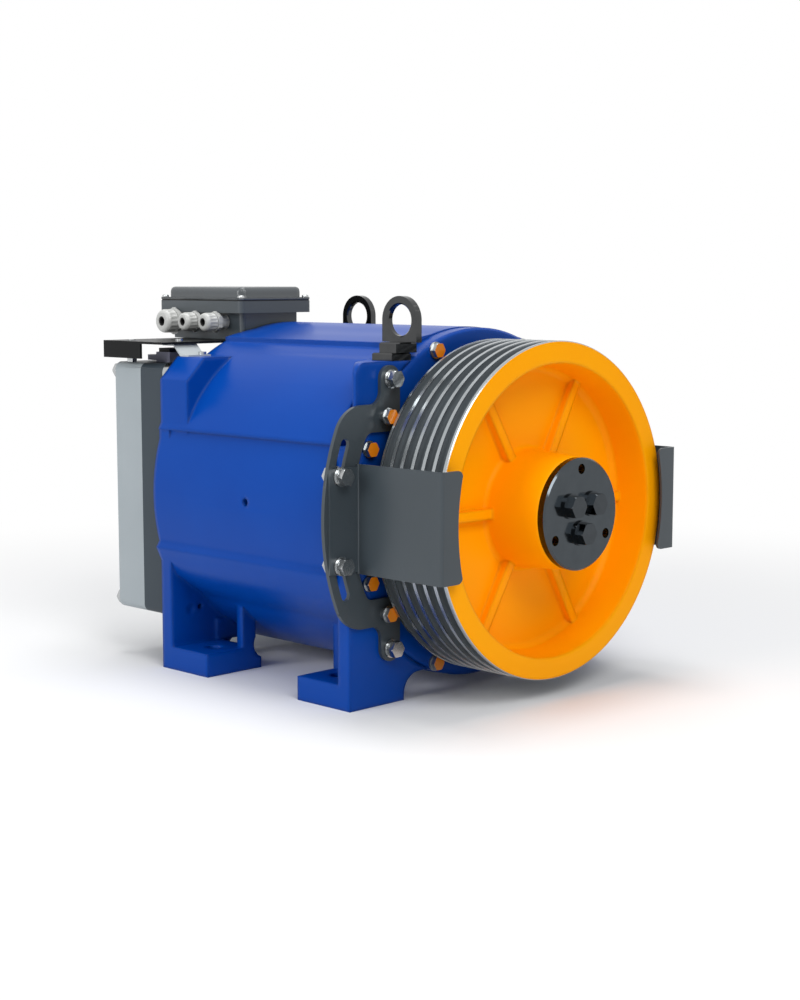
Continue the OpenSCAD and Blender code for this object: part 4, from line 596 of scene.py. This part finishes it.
# the switches are lilac grey, and black on their upper step and their back
switches = eased("brake_switches", 0.8, LILAC_NYLON)
switch_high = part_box("brake_switches")[1] * 1000
switch_top = switch_high.z - SWITCH_STEP_H + SWITCH_MARGIN
switch_back = switch_high.y - SWITCH_STEP_L + SWITCH_MARGIN
recoat(switches, BLACK_NYLON, lambda mm: (mm[:, 2] > switch_top) | (mm[:, 1] > switch_back))
coil_springs("coil_springs", "brake_springs", SPRING_SPOTS, SPRING_COIL_R, SPRING_WIRE_R, SPRING_TURNS)


# ---------------------------------------------------------------- floor, light and camera

def seen_rays(tree):
    """1 for the rays that show a background: camera, glossy and transmission rays."""
    path = add(tree, "ShaderNodeLightPath").outputs
    first = add(tree, "ShaderNodeMath",
                {0: path["Is Camera Ray"], 1: path["Is Glossy Ray"]}, operation="MAXIMUM")
    every = add(tree, "ShaderNodeMath",
                {0: first.outputs[0], 1: path["Is Transmission Ray"]}, operation="MAXIMUM")
    return every.outputs[0]


def floor_material():
    """A pale matt floor that runs into a white backdrop away from the machine."""
    material, tree, shader, place = begin("pale_matt_floor")
    shader.inputs["Base Color"].default_value = linear("#EBEBEB")
    shader.inputs["Roughness"].default_value = 0.9
    away = add(tree, "ShaderNodeVectorMath", {0: place}, operation="LENGTH")
    fade = add(tree, "ShaderNodeMapRange",
               {"Value": away.outputs["Value"], "From Min": 0.5, "From Max": 1.5},
               interpolation_type="SMOOTHSTEP")
    share = add(tree, "ShaderNodeMath",
                {0: fade.outputs["Result"], 1: seen_rays(tree)}, operation="MULTIPLY")
    glow = add(tree, "ShaderNodeEmission", {"Color": (1, 1, 1, 1), "Strength": 1.0})
    mix = add(tree, "ShaderNodeMixShader", {0: share.outputs[0], 1: shader.outputs[0], 2: glow.outputs[0]})
    tree.links.new(mix.outputs[0], tree.nodes["Material Output"].inputs["Surface"])
    return material


floor_mesh = bpy.data.meshes.new("floor")
floor_corners = [(-FLOOR_HALF, -FLOOR_HALF, 0), (FLOOR_HALF, -FLOOR_HALF, 0),
                 (FLOOR_HALF, FLOOR_HALF, 0), (-FLOOR_HALF, FLOOR_HALF, 0)]
floor_mesh.from_pydata(floor_corners, [], [(0, 1, 2, 3)])
floor = bpy.data.objects.new("floor", floor_mesh)
bpy.context.scene.collection.objects.link(floor)
floor_mesh.materials.append(floor_material())

# a dim, cool sky lights the machine, and a white one shows behind it
world = bpy.data.worlds.new("studio")
bpy.context.scene.world = world
world.use_nodes = True
sky = world.node_tree
sky.nodes.clear()
dim = add(sky, "ShaderNodeBackground", {"Color": linear("#F4F6FA"), "Strength": 0.42})
white = add(sky, "ShaderNodeBackground", {"Color": (1, 1, 1, 1), "Strength": 1.0})
sky_mix = add(sky, "ShaderNodeMixShader", {0: seen_rays(sky), 1: dim.outputs[0], 2: white.outputs[0]})
add(sky, "ShaderNodeOutputWorld", {"Surface": sky_mix.outputs[0]})


def lamp(name, place, target, size, power):
    """A square white area lamp at a place, turned to a target point."""
    data = bpy.data.lights.new(name, "AREA")
    data.size = size
    data.energy = power
    obj = bpy.data.objects.new(name, data)
    bpy.context.scene.collection.objects.link(obj)
    obj.location = place
    obj.rotation_euler = (Vector(place) - Vector(target)).to_track_quat("Z", "Y").to_euler()


lamp("key_softbox", (-1.2, -2.6, 2.6), (0, 0, 0.25), 1.6, 55)
lamp("side_softbox", (-3.0, 0.2, 1.4), (0, 0, 0.25), 1.4, 42)
lamp("top_softbox", (0.2, 0.2, 2.8), (0, 0, 0.3), 1.4, 40)

# the view from the front left, a little above the machine's top
camera_data = bpy.data.cameras.new("camera")
camera = bpy.data.objects.new("camera", camera_data)
bpy.context.scene.collection.objects.link(camera)
camera.location = (-1.6255, -1.6531, 0.5008)
camera.rotation_euler = (math.radians(82.91), 0, math.radians(-45.19))
camera_data.sensor_width = 36
camera_data.lens = 65.18
camera_data.clip_start = 0.05
camera_data.clip_end = 200
bpy.context.scene.camera = camera
bpy.context.scene.view_settings.view_transform = "Standard"
